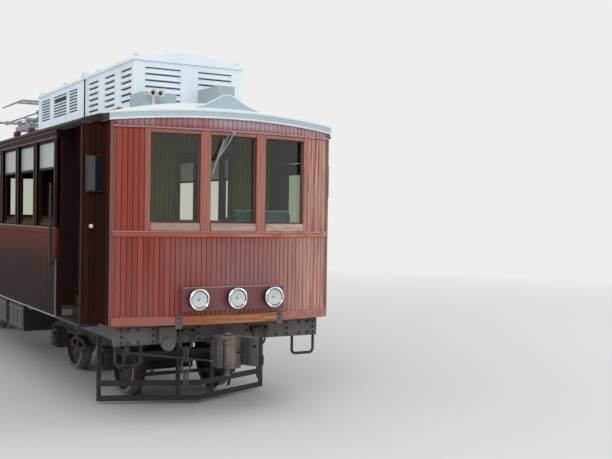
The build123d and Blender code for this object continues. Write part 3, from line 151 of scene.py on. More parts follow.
class Shape:
    """Vertices and faces gathered for one piece. Each method adds to them and returns the shape."""

    def __init__(self):
        self.verts = []
        self.faces = []

    def add(self, verts, faces):
        base = len(self.verts)
        self.verts += [tuple(v) for v in verts]
        self.faces += [tuple(base + i for i in face) for face in faces]
        return self

    def box(self, *corners):
        """A box between two corners, x, y and z of each, in any order."""
        low, high = ([choose(pair) for pair in zip(corners[:3], corners[3:])] for choose in (min, max))
        verts = [(x, y, z) for z in (low[2], high[2]) for y in (low[1], high[1]) for x in (low[0], high[0])]
        return self.add(verts, [(0, 2, 3, 1), (4, 5, 7, 6), (0, 1, 5, 4), (2, 6, 7, 3), (0, 4, 6, 2), (1, 3, 7, 5)])

    def prism(self, outline, low, high, upright=False):
        """An outline pushed from low to high: of (y, z) points along X, or of (x, y) points along Z."""
        count = len(outline)
        verts = [(u, v, w) if upright else (w, u, v) for w in (low, high) for u, v in outline]
        faces = [tuple(reversed(range(count))), tuple(range(count, 2 * count))]
        faces += [(i, (i + 1) % count, count + (i + 1) % count, count + i) for i in range(count)]
        return self.add(verts, faces)

    def tube(self, path, radius, sides=12):
        """A round bar along a path of points."""
        points = [Vector(p) for p in path]
        last = len(points) - 1
        verts = []
        side = None
        for i, point in enumerate(points):
            along = (points[min(i + 1, last)] - points[max(i - 1, 0)]).normalized()
            if side is None:
                side = along.orthogonal().normalized()
            side = (side - along * side.dot(along)).normalized()
            up = along.cross(side)
            for k in range(sides):
                a = 2 * math.pi * k / sides
                verts.append(point + radius * (math.cos(a) * side + math.sin(a) * up))
        faces = []
        for base in range(0, last * sides, sides):
            for k in range(sides):
                m = (k + 1) % sides
                faces.append((base + k, base + m, base + sides + m, base + sides + k))
        faces += [tuple(reversed(range(sides))), tuple(last * sides + k for k in range(sides))]
        return self.add(verts, faces)

    def lathe(self, profile, centre, axis, sides=32):
        """A profile of (distance along the axis, radius) turned round the axis; radius 0 closes a pole."""
        axis = Vector(axis).normalized()
        side = axis.orthogonal().normalized()
        up = axis.cross(side)
        verts = []
        rows = []
        for along, radius in profile:
            steps = 1 if radius == 0 else sides
            rows.append(range(len(verts), len(verts) + steps))
            for k in range(steps):
                a = 2 * math.pi * k / sides
                verts.append(Vector(centre) + axis * along + radius * (math.cos(a) * side + math.sin(a) * up))
        faces = []
        for a, b in zip(rows, rows[1:]):
            for k in range(sides):
                m = (k + 1) % sides
                corners = [a[k % len(a)], a[m % len(a)], b[m % len(b)], b[k % len(b)]]
                face = tuple(v for i, v in enumerate(corners) if v != corners[i - 1])
                if len(face) > 2:
                    faces.append(face)
        return self.add(verts, faces)

    def bow(self, low_x, high_x, low_z, high_z, proud, depth, steps):
        """A strip that follows the bowed front; low_z and high_z are heights or functions of x."""
        verts = []
        for i in range(steps + 1):
            x = low_x + (high_x - low_x) * i / steps
            bottom, top = (z(x) if callable(z) else z for z in (low_z, high_z))
            for out, z in ((proud, bottom), (proud, top), (proud - depth, top), (proud - depth, bottom)):
                verts.append(on_bow(x, out, z))
        faces = [(0, 1, 2, 3), tuple(4 * steps + k for k in (3, 2, 1, 0))]
        for base in range(0, 4 * steps, 4):
            for k in range(4):
                m = (k + 1) % 4
                faces.append((base + k, base + 4 + k, base + 4 + m, base + m))
        return self.add(verts, faces)

    def mirror(self):
        """Adds the copy on the other side of the car's middle plane."""
        return self.add([(-x, y, z) for x, y, z in self.verts], [face[::-1] for face in self.faces])

    def turn(self):
        """Adds the copy at the other end of the car."""
        return self.add([(-x, -y, z) for x, y, z in self.verts], list(self.faces))


def new_object(name, data):
    """An object for the data, linked to the scene."""
    work = bpy.data.objects.new(name, data)
    bpy.context.scene.collection.objects.link(work)
    return work


def smooth_faces(mesh, angle):
    """Smooth shading, except at edges sharper than an angle in degrees."""
    mesh.polygons.foreach_set("use_smooth", [True] * len(mesh.polygons))
    mesh.set_sharp_from_angle(angle=math.radians(angle))


def piece(name, shape, finish, body="body", bevel=0.0, smooth=30.0):
    """A finished piece: its mesh, finish, bevel and the body it rides on."""
    mesh = bpy.data.meshes.new(name)
    mesh.from_pydata(shape.verts, [], shape.faces)
    mesh.materials.append(FINISHES[finish])
    work = new_object(name, mesh)
    if bevel:
        rounding = work.modifiers.new("rounding", "BEVEL")
        rounding.width = bevel
        rounding.segments = 2
        rounding.limit_method = "ANGLE"
        rounding.angle_limit = math.radians(35)
        rounding.use_clamp_overlap = True
    smooth_faces(mesh, smooth)
    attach(work, body)
    return work


def boxed(name, finish, bevel, rows):
    """A piece of boxes, with its copy at the other end of the car."""
    shape = Shape()
    for row in rows:
        shape.box(*row)
    piece(name, shape.turn(), finish, bevel=bevel)


def bowed(name, finish, bevel, strips):
    """A piece of strips that follow both bowed ends."""
    shape = Shape()
    for strip in strips:
        shape.bow(*strip)
    piece(name, shape.turn(), finish, bevel=bevel)


# Geometry Nodes trees for what repeats


def add_node(tree, kind, inputs=None, output=0, **settings):
    """Adds a node with its settings, and returns one output. An input takes a socket, a hex colour or a value."""
    node = tree.nodes.new(kind)
    for key, value in settings.items():
        setattr(node, key, value)
    for key, value in (inputs or {}).items():
        if isinstance(value, bpy.types.NodeSocket):
            tree.links.new(value, node.inputs[key])
        elif isinstance(value, str) and value.startswith("#"):
            node.inputs[key].default_value = linear(value)
        else:
            node.inputs[key].default_value = value
    return node.outputs[output]


def new_tree(name, *sizes):
    """An empty tree with inputs for the points, the sizes and the material, and those inputs' sockets."""
    tree = bpy.data.node_groups.new(name, "GeometryNodeTree")
    sockets = [("Geometry", "Geometry"), *((size, "Float") for size in sizes), ("Material", "Material")]
    for label, kind in sockets:
        tree.interface.new_socket(label, in_out="INPUT", socket_type="NodeSocket" + kind)
    tree.interface.new_socket("Geometry", in_out="OUTPUT", socket_type="NodeSocketGeometry")
    return tree, tree.nodes.new("NodeGroupInput").outputs


def place_copies(tree, sizes, template):
    """Puts a template on every point, turned and stretched by the points' attributes, and closes the tree."""
    turn, stretch = (
        add_node(tree, "GeometryNodeInputNamedAttribute", {"Name": name}, data_type="FLOAT_VECTOR")
        for name in ("turn", "stretch")
    )
    placing = {"Points": sizes["Geometry"], "Instance": template, "Rotation": turn, "Scale": stretch}
    copies = add_node(tree, "GeometryNodeInstanceOnPoints", placing)
    # each copy has its own tone, from a fixed seed
    chance = add_node(tree, "FunctionNodeRandomValue", {"Seed": 7}, 1, data_type="FLOAT")
    storing = {"Name": "tint", "Geometry": copies, "Value": chance}
    tint = add_node(tree, "GeometryNodeStoreNamedAttribute", storing, data_type="FLOAT", domain="INSTANCE")
    real = add_node(tree, "GeometryNodeRealizeInstances", {"Geometry": tint})
    whole = add_node(tree, "GeometryNodeSetMaterial", {"Geometry": real, "Material": sizes["Material"]})
    tree.links.new(whole, tree.nodes.new("NodeGroupOutput").inputs["Geometry"])
    return tree


def board_tree():
    """Tongued boards: a slab one unit tall whose front edges are cut back to a V groove."""
    tree, sizes = new_tree("tongued_boards", "Pitch", "Proud", "Groove")
    size = add_node(tree, "ShaderNodeCombineXYZ", {"X": sizes["Pitch"], "Y": sizes["Proud"], "Z": 1.0})
    slab = add_node(tree, "GeometryNodeMeshCube", {"Size": size})
    position = add_node(tree, "GeometryNodeInputPosition")
    across = add_node(tree, "ShaderNodeSeparateXYZ", {0: position}, "X")
    depth = add_node(tree, "ShaderNodeSeparateXYZ", {0: position}, "Y")
    ahead = add_node(tree, "FunctionNodeCompare", {"A": depth, "B": 0.0}, operation="LESS_THAN")
    side = add_node(tree, "ShaderNodeMath", {0: across}, operation="SIGN")
    outward = add_node(tree, "ShaderNodeMath", {0: side, 1: sizes["Groove"]}, operation="MULTIPLY")
    inward = add_node(tree, "ShaderNodeMath", {0: outward, 1: -1.0}, operation="MULTIPLY")
    step = add_node(tree, "ShaderNodeCombineXYZ", {"X": inward})
    eased = add_node(tree, "GeometryNodeSetPosition", {"Geometry": slab, "Selection": ahead, "Offset": step})
    standing = add_node(tree, "GeometryNodeTransform", {"Geometry": eased, "Translation": (0, 0, 0.5)})
    return place_copies(tree, sizes, standing)


def bolt_tree():
    """Bolt and screw heads: a short ten-sided head that narrows to its top."""
    tree, sizes = new_tree("bolt_heads", "Radius", "Height")
    top = add_node(tree, "ShaderNodeMath", {0: sizes["Radius"], 1: 0.72}, operation="MULTIPLY")
    head = {"Vertices": 10, "Radius Top": top, "Radius Bottom": sizes["Radius"], "Depth": sizes["Height"]}
    return place_copies(tree, sizes, add_node(tree, "GeometryNodeMeshCone", head))


def link_tree():
    """Chain links: an oval loop of round bar, long along Z."""
    tree, sizes = new_tree("chain_links", "Half width", "Half straight", "Bar radius")
    loop, section = (
        add_node(tree, "GeometryNodeCurvePrimitiveCircle", {"Resolution": steps, "Radius": sizes[size]}, mode="RADIUS")
        for steps, size in ((20, "Half width"), (10, "Bar radius"))
    )
    position = add_node(tree, "GeometryNodeInputPosition")
    along = add_node(tree, "ShaderNodeSeparateXYZ", {0: position}, "Y")
    half = add_node(tree, "ShaderNodeMath", {0: along}, operation="SIGN")
    reach = add_node(tree, "ShaderNodeMath", {0: half, 1: sizes["Half straight"]}, operation="MULTIPLY")
    step = add_node(tree, "ShaderNodeCombineXYZ", {"Y": reach})
    oval = add_node(tree, "GeometryNodeSetPosition", {"Geometry": loop, "Offset": step})
    upright = add_node(tree, "GeometryNodeTransform", {"Geometry": oval, "Rotation": (math.pi / 2, 0, 0)})
    bar = add_node(tree, "GeometryNodeCurveToMesh", {"Curve": upright, "Profile Curve": section})
    return place_copies(tree, sizes, add_node(tree, "GeometryNodeSetShadeSmooth", {"Geometry": bar}))


def slat_tree():
    """Slats: a bar one unit long along X."""
    tree, sizes = new_tree("slats", "Width", "Thickness")
    size = add_node(tree, "ShaderNodeCombineXYZ", {"X": 1.0, "Y": sizes["Width"], "Z": sizes["Thickness"]})
    return place_copies(tree, sizes, add_node(tree, "GeometryNodeMeshCube", {"Size": size}))


TREES = {"tongued_boards": board_tree, "bolt_heads": bolt_tree, "chain_links": link_tree, "slats": slat_tree}


def repeat(name, kind, points, sizes, finish, body="body", smooth=0.0):
    """Runs a tree on points of (place, turn, stretch) and keeps the result as a plain mesh."""
    tree = bpy.data.node_groups.get(kind) or TREES[kind]()
    mesh = bpy.data.meshes.new(name)
    mesh.from_pydata([p[0] for p in points], [], [])
    for label, index in (("turn", 1), ("stretch", 2)):
        values = mesh.attributes.new(label, "FLOAT_VECTOR", "POINT")
        values.data.foreach_set("vector", [v for p in points for v in p[index]])
    work = new_object(name, mesh)
    modifier = work.modifiers.new("repeat", "NODES")
    modifier.node_group = tree
    values = dict(sizes, Material=FINISHES[finish])
    for item in tree.interface.items_tree:
        if item.in_out == "INPUT" and item.name in values:
            modifier[item.identifier] = values[item.name]
    bpy.context.view_layer.update()
    graph = bpy.context.evaluated_depsgraph_get()
    made = bpy.data.meshes.new_from_object(work.evaluated_get(graph), depsgraph=graph)
    work.modifiers.remove(modifier)
    work.data = made
    made.name = name
    if smooth:
        smooth_faces(made, smooth)
    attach(work, body)
    return work


def bolts(name, points, radius, height, finish, body="body"):
    """Bolt heads on points that facing() makes."""
    repeat(name, "bolt_heads", points, {"Radius": radius, "Height": height}, finish, body)


def front_boards(low_x, high_x, bottom, top, pitch):
    """Points for boards side by side along the bowed front; top is a height or a function of x."""
    low_a, high_a = math.asin(low_x / BOW_R), math.asin(high_x / BOW_R)
    count = max(1, round((high_a - low_a) * BOW_R / pitch))
    width = (high_a - low_a) * BOW_R / count / pitch
    points = []
    for i in range(count):
        a = low_a + (high_a - low_a) * (i + 0.5) / count
        x = BOW_R * math.sin(a)
        high = top(x) if callable(top) else top
        points.append((on_bow(x, 0.0, bottom), (0, 0, a), (width, 1, high - bottom)))
    return points


def flat_boards(start, end, bottom, top, pitch):
    """Points for boards side by side on a flat wall; the boards' faces lie to the right of start to end."""
    along = Vector(end) - Vector(start)
    count = max(1, round(along.length / pitch))
    turn = math.atan2(along.y, along.x)
    points = []
    for i in range(count):
        place = Vector(start) + along * (i + 0.5) / count
        points.append(((*place, bottom), (0, 0, turn), (along.length / count / pitch, 1, top - bottom)))
    return points


def turned(points):
    """The points, then the same points at the other end of the car."""
    return points + [((-p[0], -p[1], p[2]), (r[0], r[1], r[2] + math.pi), s) for p, r, s in points]


def facing(points, normal):
    """Points for heads whose tops face along the normal."""
    turn = tuple(Vector(normal).to_track_quat("Z", "Y").to_euler())
    return [(p, turn, (1, 1, 1)) for p in points]


# Finishes


def shader(name, roughness, metallic=0.0):
    """A new material, its tree, its main shader's inputs and its Object coordinates."""
    material = bpy.data.materials.new(name)
    material.use_nodes = True
    tree = material.node_tree
    base = tree.nodes["Principled BSDF"].inputs
    base["Roughness"].default_value = roughness
    base["Metallic"].default_value = metallic
    return material, tree, base, add_node(tree, "ShaderNodeTexCoord", output="Object")


def cover(tree, colour, over, *masks):
    """Lays one colour over another where every mask shows. A mask is a pattern, its values at no cover and at full
    cover, and, where the cover isn't 0 and 1 there, the covers at both."""
    share = None
    for value, low, high, *covers in masks:
        start, end = covers or (0.0, 1.0)
        limits = {"Value": value, "From Min": low, "From Max": high, "To Min": start, "To Max": end}
        part = add_node(tree, "ShaderNodeMapRange", limits, clamp=True)
        if share is not None:
            part = add_node(tree, "ShaderNodeMath", {0: share, 1: part}, operation="MULTIPLY")
        share = part
    return add_node(tree, "ShaderNodeMix", {0: share, 6: colour, 7: over}, 2, data_type="RGBA")


def patches(tree, place, scale, detail=3.0, stretch=(1, 1, 1)):
    """Soft patches, scale of them to a metre, and fewer along an axis that is stretched by less."""
    stretched = add_node(tree, "ShaderNodeMapping", {"Vector": place, "Scale": stretch})
    settings = {"Vector": stretched, "Scale": scale, "Detail": detail, "Roughness": 0.6}
    return add_node(tree, "ShaderNodeTexNoise", settings, "Fac")


def either_way(tree, vector, axis):
    """How far a vector reaches along an axis, in either direction."""
    reach = add_node(tree, "ShaderNodeSeparateXYZ", {0: vector}, axis)
    return add_node(tree, "ShaderNodeMath", {0: reach}, operation="ABSOLUTE")


def across_end(tree, place):
    """Metres to the right of the middle, as seen from in front of either end of the car."""
    x, y = (add_node(tree, "ShaderNodeSeparateXYZ", {0: place}, axis) for axis in "XY")
    area = add_node(tree, "ShaderNodeMath", {0: x, 1: y}, operation="MULTIPLY")
    return add_node(tree, "ShaderNodeMath", {0: area, 1: -1 / (CORNER_Y + BOW / 2)}, operation="MULTIPLY")


def seen_rays(tree):
    """1 for rays that show the background: straight ones, reflected ones and those through glass."""
    camera, glossy, through = (
        add_node(tree, "ShaderNodeLightPath", output=f"Is {kind} Ray") for kind in ("Camera", "Glossy", "Transmission")
    )
    mirrored = add_node(tree, "ShaderNodeMath", {0: camera, 1: glossy}, operation="MAXIMUM")
    return add_node(tree, "ShaderNodeMath", {0: mirrored, 1: through}, operation="MAXIMUM")


def varnished_boards(name, dark, light, worn=None, wear=None, along="Z", gloss=0.3):
    """Old varnished hardwood: each board has its own tone, the grain runs along it, and where sun and rain have
    bleached the varnish the pale wood shows in streaks. Wear starts, ends and weighs across each end of the car."""
    material, tree, base, place = shader(name, 0.5)
    tint = add_node(tree, "ShaderNodeAttribute", output="Fac", attribute_name="tint")
    colour = cover(tree, dark, light, (tint, 0.0, 1.0))
    # grain about 4 mm wide, drawn coarse enough to show
    stretch = {"X": (0.9, 22, 22), "Y": (22, 0.9, 22), "Z": (22, 22, 0.9)}[along]
    grain = patches(tree, place, 6.0, 4.0, stretch)
    colour = cover(tree, colour, "#2a1310", (grain, 0.35, 0.7, 0.0, 0.3))
    if worn:
        start, end, weight = wear
        streaks = patches(tree, place, 3.5, 5.0, tuple(0.6 * v for v in stretch))
        colour = cover(tree, colour, worn, (across_end(tree, place), start, end, 0.0, weight), (streaks, 0.36, 0.6))
    tree.links.new(colour, base["Base Color"])
    base["Specular IOR Level"].default_value = gloss
    raised = add_node(tree, "ShaderNodeBump", {"Strength": 0.5, "Distance": 0.0006, "Height": grain})
    tree.links.new(raised, base["Normal"])
    return material, tree, base, place, colour


def varnish(*args, **settings):
    """The material alone of varnished boards."""
    return varnished_boards(*args, **settings)[0]


def end_boards_finish():
    """The boards of both ends: red-brown at their left, dull mauve low in the middle where hands and rain reach,
    bleached pinkish tan at their right, and chalky above the windows."""
    material, tree, base, place, colour = varnished_boards("weathered varnished teak boards", "#842e22", "#9f4533")
    across = across_end(tree, place)
    height = add_node(tree, "ShaderNodeSeparateXYZ", {0: place}, "Z")
    far_out = either_way(tree, place, "Y")
    outer = (far_out, CORNER_Y - 0.06, CORNER_Y)
    streaks = (patches(tree, place, 3.5, 5.0, (13, 13, 0.5)), 0.34, 0.62)
    dull = (patches(tree, place, 1.6, 3.0, (1, 1, 0.7)), 0.3, 0.62)
    bleached = (across, 0.35, 1.0, 0.0, 0.95)
    colour = cover(tree, colour, "#926a68", (height, 1.95, 1.7), (across, -1.2, -0.1, 0.15, 0.85), dull)
    colour = cover(tree, colour, "#a05a46", bleached, outer, dull)
    colour = cover(tree, colour, "#c8a495", bleached, outer, streaks)
    colour = cover(tree, colour, "#b39ba3", (height, 2.86, 2.93, 0.0, 0.9), dull)
    # faces back from the end face, such as the cab's returns, take a near black brown that is dark varnish and partly
    # painted shade
    tree.links.new(cover(tree, "#2c150d", colour, outer), base["Base Color"])
    limits = {"Value": far_out, "From Min": outer[1], "From Max": outer[2], "To Min": 0.06, "To Max": 0.3}
    tree.links.new(add_node(tree, "ShaderNodeMapRange", limits), base["Specular IOR Level"])
    return material


def side_boards_and_painted_shade():
    """Thick dark varnish on the sides, all of it darkened further by painted shade: red-brown under the saloon's
    windows, and near black low down and on the cabs, where the near black low down is painted shade.
    """
    material, tree, base, place, colour = varnished_boards("dark varnished teak boards with painted shade", "#2b140c", "#3b1d13")
    height = add_node(tree, "ShaderNodeSeparateXYZ", {0: place}, "Z")
    # past this distance from the middle lies only the saloon's wall
    saloon = (either_way(tree, place, "X"), BODY_HALF - 0.02, BODY_HALF - 0.01)
    dust = (patches(tree, place, 3.0, 4.0, (9, 9, 0.6)), 0.5, 0.75, 0.0, 0.5)
    colour = cover(tree, colour, "#6b2c20", (height, 1.5, 1.8, 0.0, 0.85), (height, 1.88, 1.87), saloon)
    colour = cover(tree, colour, "#44302a", dust, saloon)
    # painted shade: the saloon's wall turns near black towards the bottom
    colour = cover(tree, colour, "#1d1412", (height, 1.5, 1.1, 0.0, 0.7), saloon)
    tree.links.new(colour, base["Base Color"])
    base["Roughness"].default_value = 0.6
    base["Specular IOR Level"].default_value = 0.08
    return material


def painted(name, colour, dirt, amount=0.35, roughness=0.45, metallic=0.0, scale=3.0, coat=0.0):
    """Brush or spray paint with a film of dirt that gathers in soft patches."""
    material, tree, base, place = shader(name, roughness, metallic)
    grime = (patches(tree, place, scale, 4.0), 0.42, 0.78, 0.0, amount)
    tree.links.new(cover(tree, colour, dirt, grime), base["Base Color"])
    base["Coat Weight"].default_value = coat
    return material


def cast_skin(tree, base, place):
    """The skin that sand leaves on a casting, of about 3 mm grain, drawn coarser so that it shows."""
    sand = patches(tree, place, 140.0, 2.0)
    raised = add_node(tree, "ShaderNodeBump", {"Strength": 0.6, "Distance": 0.001, "Height": sand})
    tree.links.new(raised, base["Normal"])


def cast_iron(name, colour, rust, amount):
    """Sand-cast or forged steel that has lost its paint: dull, grainy and rusted in patches."""
    material, tree, base, place = shader(name, 0.75, 0.15)
    rusted = (patches(tree, place, 9.0, 6.0), 0.42, 0.66, 0.0, amount)
    tree.links.new(cover(tree, colour, rust, rusted), base["Base Color"])
    cast_skin(tree, base, place)
    return material


def coupler_finish():
    """Cast steel: dull grey-black, rubbed where the knuckles meet, with a painted highlight of sky light on what faces
    upwards.
    """
    material, tree, base, place = shader("cast steel coupler with painted sky highlight", 0.7, 0.15)
    colour = cover(tree, "#45423f", "#6a5a4d", (patches(tree, place, 6.0, 6.0), 0.42, 0.66, 0.0, 0.6))
    across = across_end(tree, place)
    rubbed = (patches(tree, place, 12.0, 4.0, (1, 1, 0.3)), 0.36, 0.6, 0.15, 0.85)
    colour = cover(tree, colour, "#7a6d62", (across, -0.19, -0.16), (across, -0.03, -0.05), rubbed)
    # painted highlight: faces that point upwards are paled the way sky light would pale them
    normal = add_node(tree, "ShaderNodeNewGeometry", output="Normal")
    sky_lit_share = add_node(tree, "ShaderNodeSeparateXYZ", {0: normal}, "Z")
    colour = cover(tree, colour, "#84847f", (sky_lit_share, 0.6, 0.9, 0.0, 0.75))
    tree.links.new(colour, base["Base Color"])
    cast_skin(tree, base, place)
    return material


def clear_glass(name, colour, roughness, density, clear=1.0):
    """Glass with a slight green-grey tone from its iron and from dust; density is its IOR, clear its clear share."""
    material, _, base, _ = shader(name, roughness)
    base["Base Color"].default_value = linear(colour)
    base["Transmission Weight"].default_value = clear
    base["IOR"].default_value = density
    return material


def bright_metal(name, colour, roughness):
    """Bare or plated metal, softly polished."""
    material, _, base, _ = shader(name, roughness, 1.0)
    base["Base Color"].default_value = linear(colour)
    return material


def roof_sheet(name, top, upright_tone_and_shade):
    """Painted roof: chalky white on top, and on upright faces a second tone, which on the roof ends and hoods is
    partly painted shade; dark wood along its eaves.
    """
    material, tree, base, place = shader(name, 0.6)
    normal = add_node(tree, "ShaderNodeNewGeometry", output="Normal")
    sky_lit_share = add_node(tree, "ShaderNodeSeparateXYZ", {0: normal}, "Z")
    # the tone follows the way a face points: on the roof ends and hoods the blue-grey of upright faces is partly
    # painted shade
    colour = cover(tree, upright_tone_and_shade, top, (sky_lit_share, 0.45, 0.75))
    stains = patches(tree, place, 2.4, 5.0, (1, 0.5, 1))
    colour = cover(tree, colour, "#93a2a5", (stains, 0.45, 0.8, 0.0, 0.3))
    colour = cover(tree, colour, "#2a1813", (either_way(tree, normal, "X"), 0.75, 0.85))
    tree.links.new(colour, base["Base Color"])
    return material


FINISHES = {}


def make_finishes():
    """All finishes of the car, by a short name."""
    # this wear starts left of the car, so it shows evenly
    even_wear = (-9.0, -8.0, 0.4)
    FINISHES.update(
        # varnished teak: satin red-brown with fine grain, paler and pinker towards the sunny right of each end
        front=end_boards_finish(),
        # the sides' varnish is partly painted shade, darker than the wood itself
        side=side_boards_and_painted_shade(),
        dark_wood=varnish("dark varnished teak frame", "#241310", "#2e1814", gloss=0.1),
        frame=varnish("varnished teak posts", "#a3604f", "#ad6a5a", "#bf8c7d", (-0.9, 0.9, 0.7)),
        beam=varnish("varnished teak beams", "#a15f52", "#ab695c", "#c08d80", (-0.9, 0.9, 0.6), "X"),
        belt=varnish("sun-bleached teak rail", "#b1513a", "#ba5c40", "#c98a68", (-0.9, 0.6, 0.9), "X"),
        middle_sill=varnish("oiled teak sill", "#9a5434", "#a8603a", "#c98f62", (-0.8, 0.5, 0.8), "X"),
        # rubbed and bare wood: varnish has gone from edges and ledges, so they look chalky, grey-pink and dull
        bead=varnish("rubbed teak edges", "#85524a", "#925c52", "#b58a78", (-1.0, 1.0, 0.4)),
        side_bead=varnish("dusty side edges", "#6a5a4f", "#776659"),
        nosing=varnish("chalky weathered teak nosings", "#a08488", "#b0969a", "#c3b0b2", (-1.2, 1.0, 0.8), "X"),
        sill_block=varnish("bare grey-pink sill wood", "#a78679", "#b5968a", "#cbb5aa", (-1.0, 0.6, 0.8), "X"),
        # wood inside: out of the weather its varnish has turned yellow and orange-brown; feet grey the floor
        cab_lining=varnish("olive-brown lining boards", "#b29a3c", "#cfb757", "#d8c271", even_wear),
        lining_rail=varnish("orange-brown lining rail", "#7f5428", "#8f6030"),
        bench=varnish("varnished bench slats", "#7b4f2c", "#9a663a", along="X"),
        floor=varnish("worn floorboards", "#4a3d33", "#5b4c40", along="Y"),
        # paint on sheet and canvas: flat pale colour that smears grey where rain dries
        # roof ends and hoods: the blue-grey on their upright faces is partly painted shade
        roof=roof_sheet("roof end sheet with painted shade on upright faces", "#f3f5f6", "#aec3cb"),
        long_roof=roof_sheet("painted roof canvas", "#f3f5f6", "#2a1813"),
        lip=painted("white gloss edge paint", "#e2e7e6", "#b2bdbd", 0.35, 0.4),
        housing=painted("pale blue-white sheet steel paint", "#e9f2f8", "#bfc8cf", scale=2.0),
        roof_box=painted("grey-green sheet steel paint", "#a3b6ba", "#84969b", 0.4, 0.5),
        # painted shade: a dark blue-black for the bars and plate set where the louvres' recesses lie in shadow
        louvre_dark=painted("painted shade inside the louvres", "#23263a", "#16182a", 0.3, 0.8),
        panto=painted("weathered grey tube paint", "#8d9397", "#5e5f60", 0.5, 0.5, 0.1),
        # enamel and glaze: a smooth, even colour with a soft highlight
        lamp_board=painted("maroon enamel", "#774349", "#5a3338", 0.4, 0.4),
        cream=painted("cream enamel", "#e0d8ca", "#ada08b", 0.4, 0.35),
        teal=painted("teal instrument enamel", "#3a9ea6", "#2a7077", 0.3, 0.3),
        insulator=painted("brown glazed porcelain", "#5a2f22", "#3c2018", 0.3, 0.15, coat=0.5),
        # chassis paint and rubber: near black, dulled to brown-grey by brake dust
        headstock=painted("faded grey-black steel paint", "#625c58", "#443e3b", 0.6, 0.6),
        # black paint, darkened a little further as painted shade
        black=painted("black chassis paint with road dust and painted shade", "#1f2123", "#3e372f", 0.45, 0.6),
        seal=painted("grey glazing seal", "#54534c", "#3a3a36", 0.4, 0.6),
        rubber=painted("black rubber", "#191a1b", "#2c2c2b", 0.4, 0.75),
        # castings, forgings and rolled wheels: rough dark metal that rusts in patches and hardly shines
        gear=cast_iron("dusty cast iron", "#2c2b2a", "#4d3a2c", 0.7),
        coupler=coupler_finish(),
        rust=cast_iron("rusted forged steel", "#41342d", "#6a4a37", 0.8),
        chain=cast_iron("oiled chain steel", "#474341", "#5f4f45", 0.5),
        wheel=cast_iron("rolled wheel steel", "#3d3835", "#5d4534", 0.7),
        # bare and plated metal: bright where it is rubbed, sharp reflections only on chrome and silver
        tread=bright_metal("rail-polished tyre steel", "#8b8883", 0.4),
        brass=bright_metal("worn brass", "#8f7c50", 0.4),
        steel=bright_metal("bare steel", "#b9bcc0", 0.35),
        chrome=bright_metal("chromed steel", "#e6e8ea", 0.12),
        mirror=bright_metal("silvered reflector", "#f2f4f5", 0.08),
        copper=bright_metal("copper contact strip", "#b5714c", 0.35),
        # glass: clear and faintly green in the ends, pressed and soft in the lamps, milky in the side sashes,
        # and on the driver's mirrors dark with a sharp shine, the dark being a painted reflection
        glass=clear_glass("window glass", "#c3cabc", 0.01, 1.45),
        lens=clear_glass("pressed lamp glass", "#eef2f2", 0.12, 1.3),
        frosted=clear_glass("pale obscured sash glass", "#d3dada", 0.3, 1.45, 0.5),
        dark_glass=painted("mirror glass with a painted dark reflection", "#10181b", "#1c262a", 0.3, 0.08, coat=0.8),
    )


class RailcarSizes(bpy.types.PropertyGroup):
    """Sizes that a user may change."""

    board_pitch: FloatProperty(
        name="Board pitch", description="Width of one tongued board", default=0.052, unit="LENGTH"
    )
    board_proud: FloatProperty(
        name="Board thickness", description="How far boards stand off the wall", default=0.01, unit="LENGTH"
    )
    board_groove: FloatProperty(
        name="Groove", description="Half the width of the V groove between boards", default=0.0045, unit="LENGTH"
    )
    bolt_radius: FloatProperty(
        name="Bolt radius", description="Radius of the bolt heads on the chassis", default=0.014, unit="LENGTH"
    )
    chain_bar: FloatProperty(
        name="Chain bar", description="Radius of the safety chains' bar", default=0.012, unit="LENGTH"
    )


class RailcarColours(bpy.types.PropertyGroup):
    """Colours that a user may change."""

    floor: FloatVectorProperty(
        name="Floor", description="Studio floor", subtype="COLOR", size=4, default=linear("#e0e0dd")
    )
    backdrop: FloatVectorProperty(
        name="Backdrop", description="Studio background", subtype="COLOR", size=4, default=linear("#eeeeec")
    )


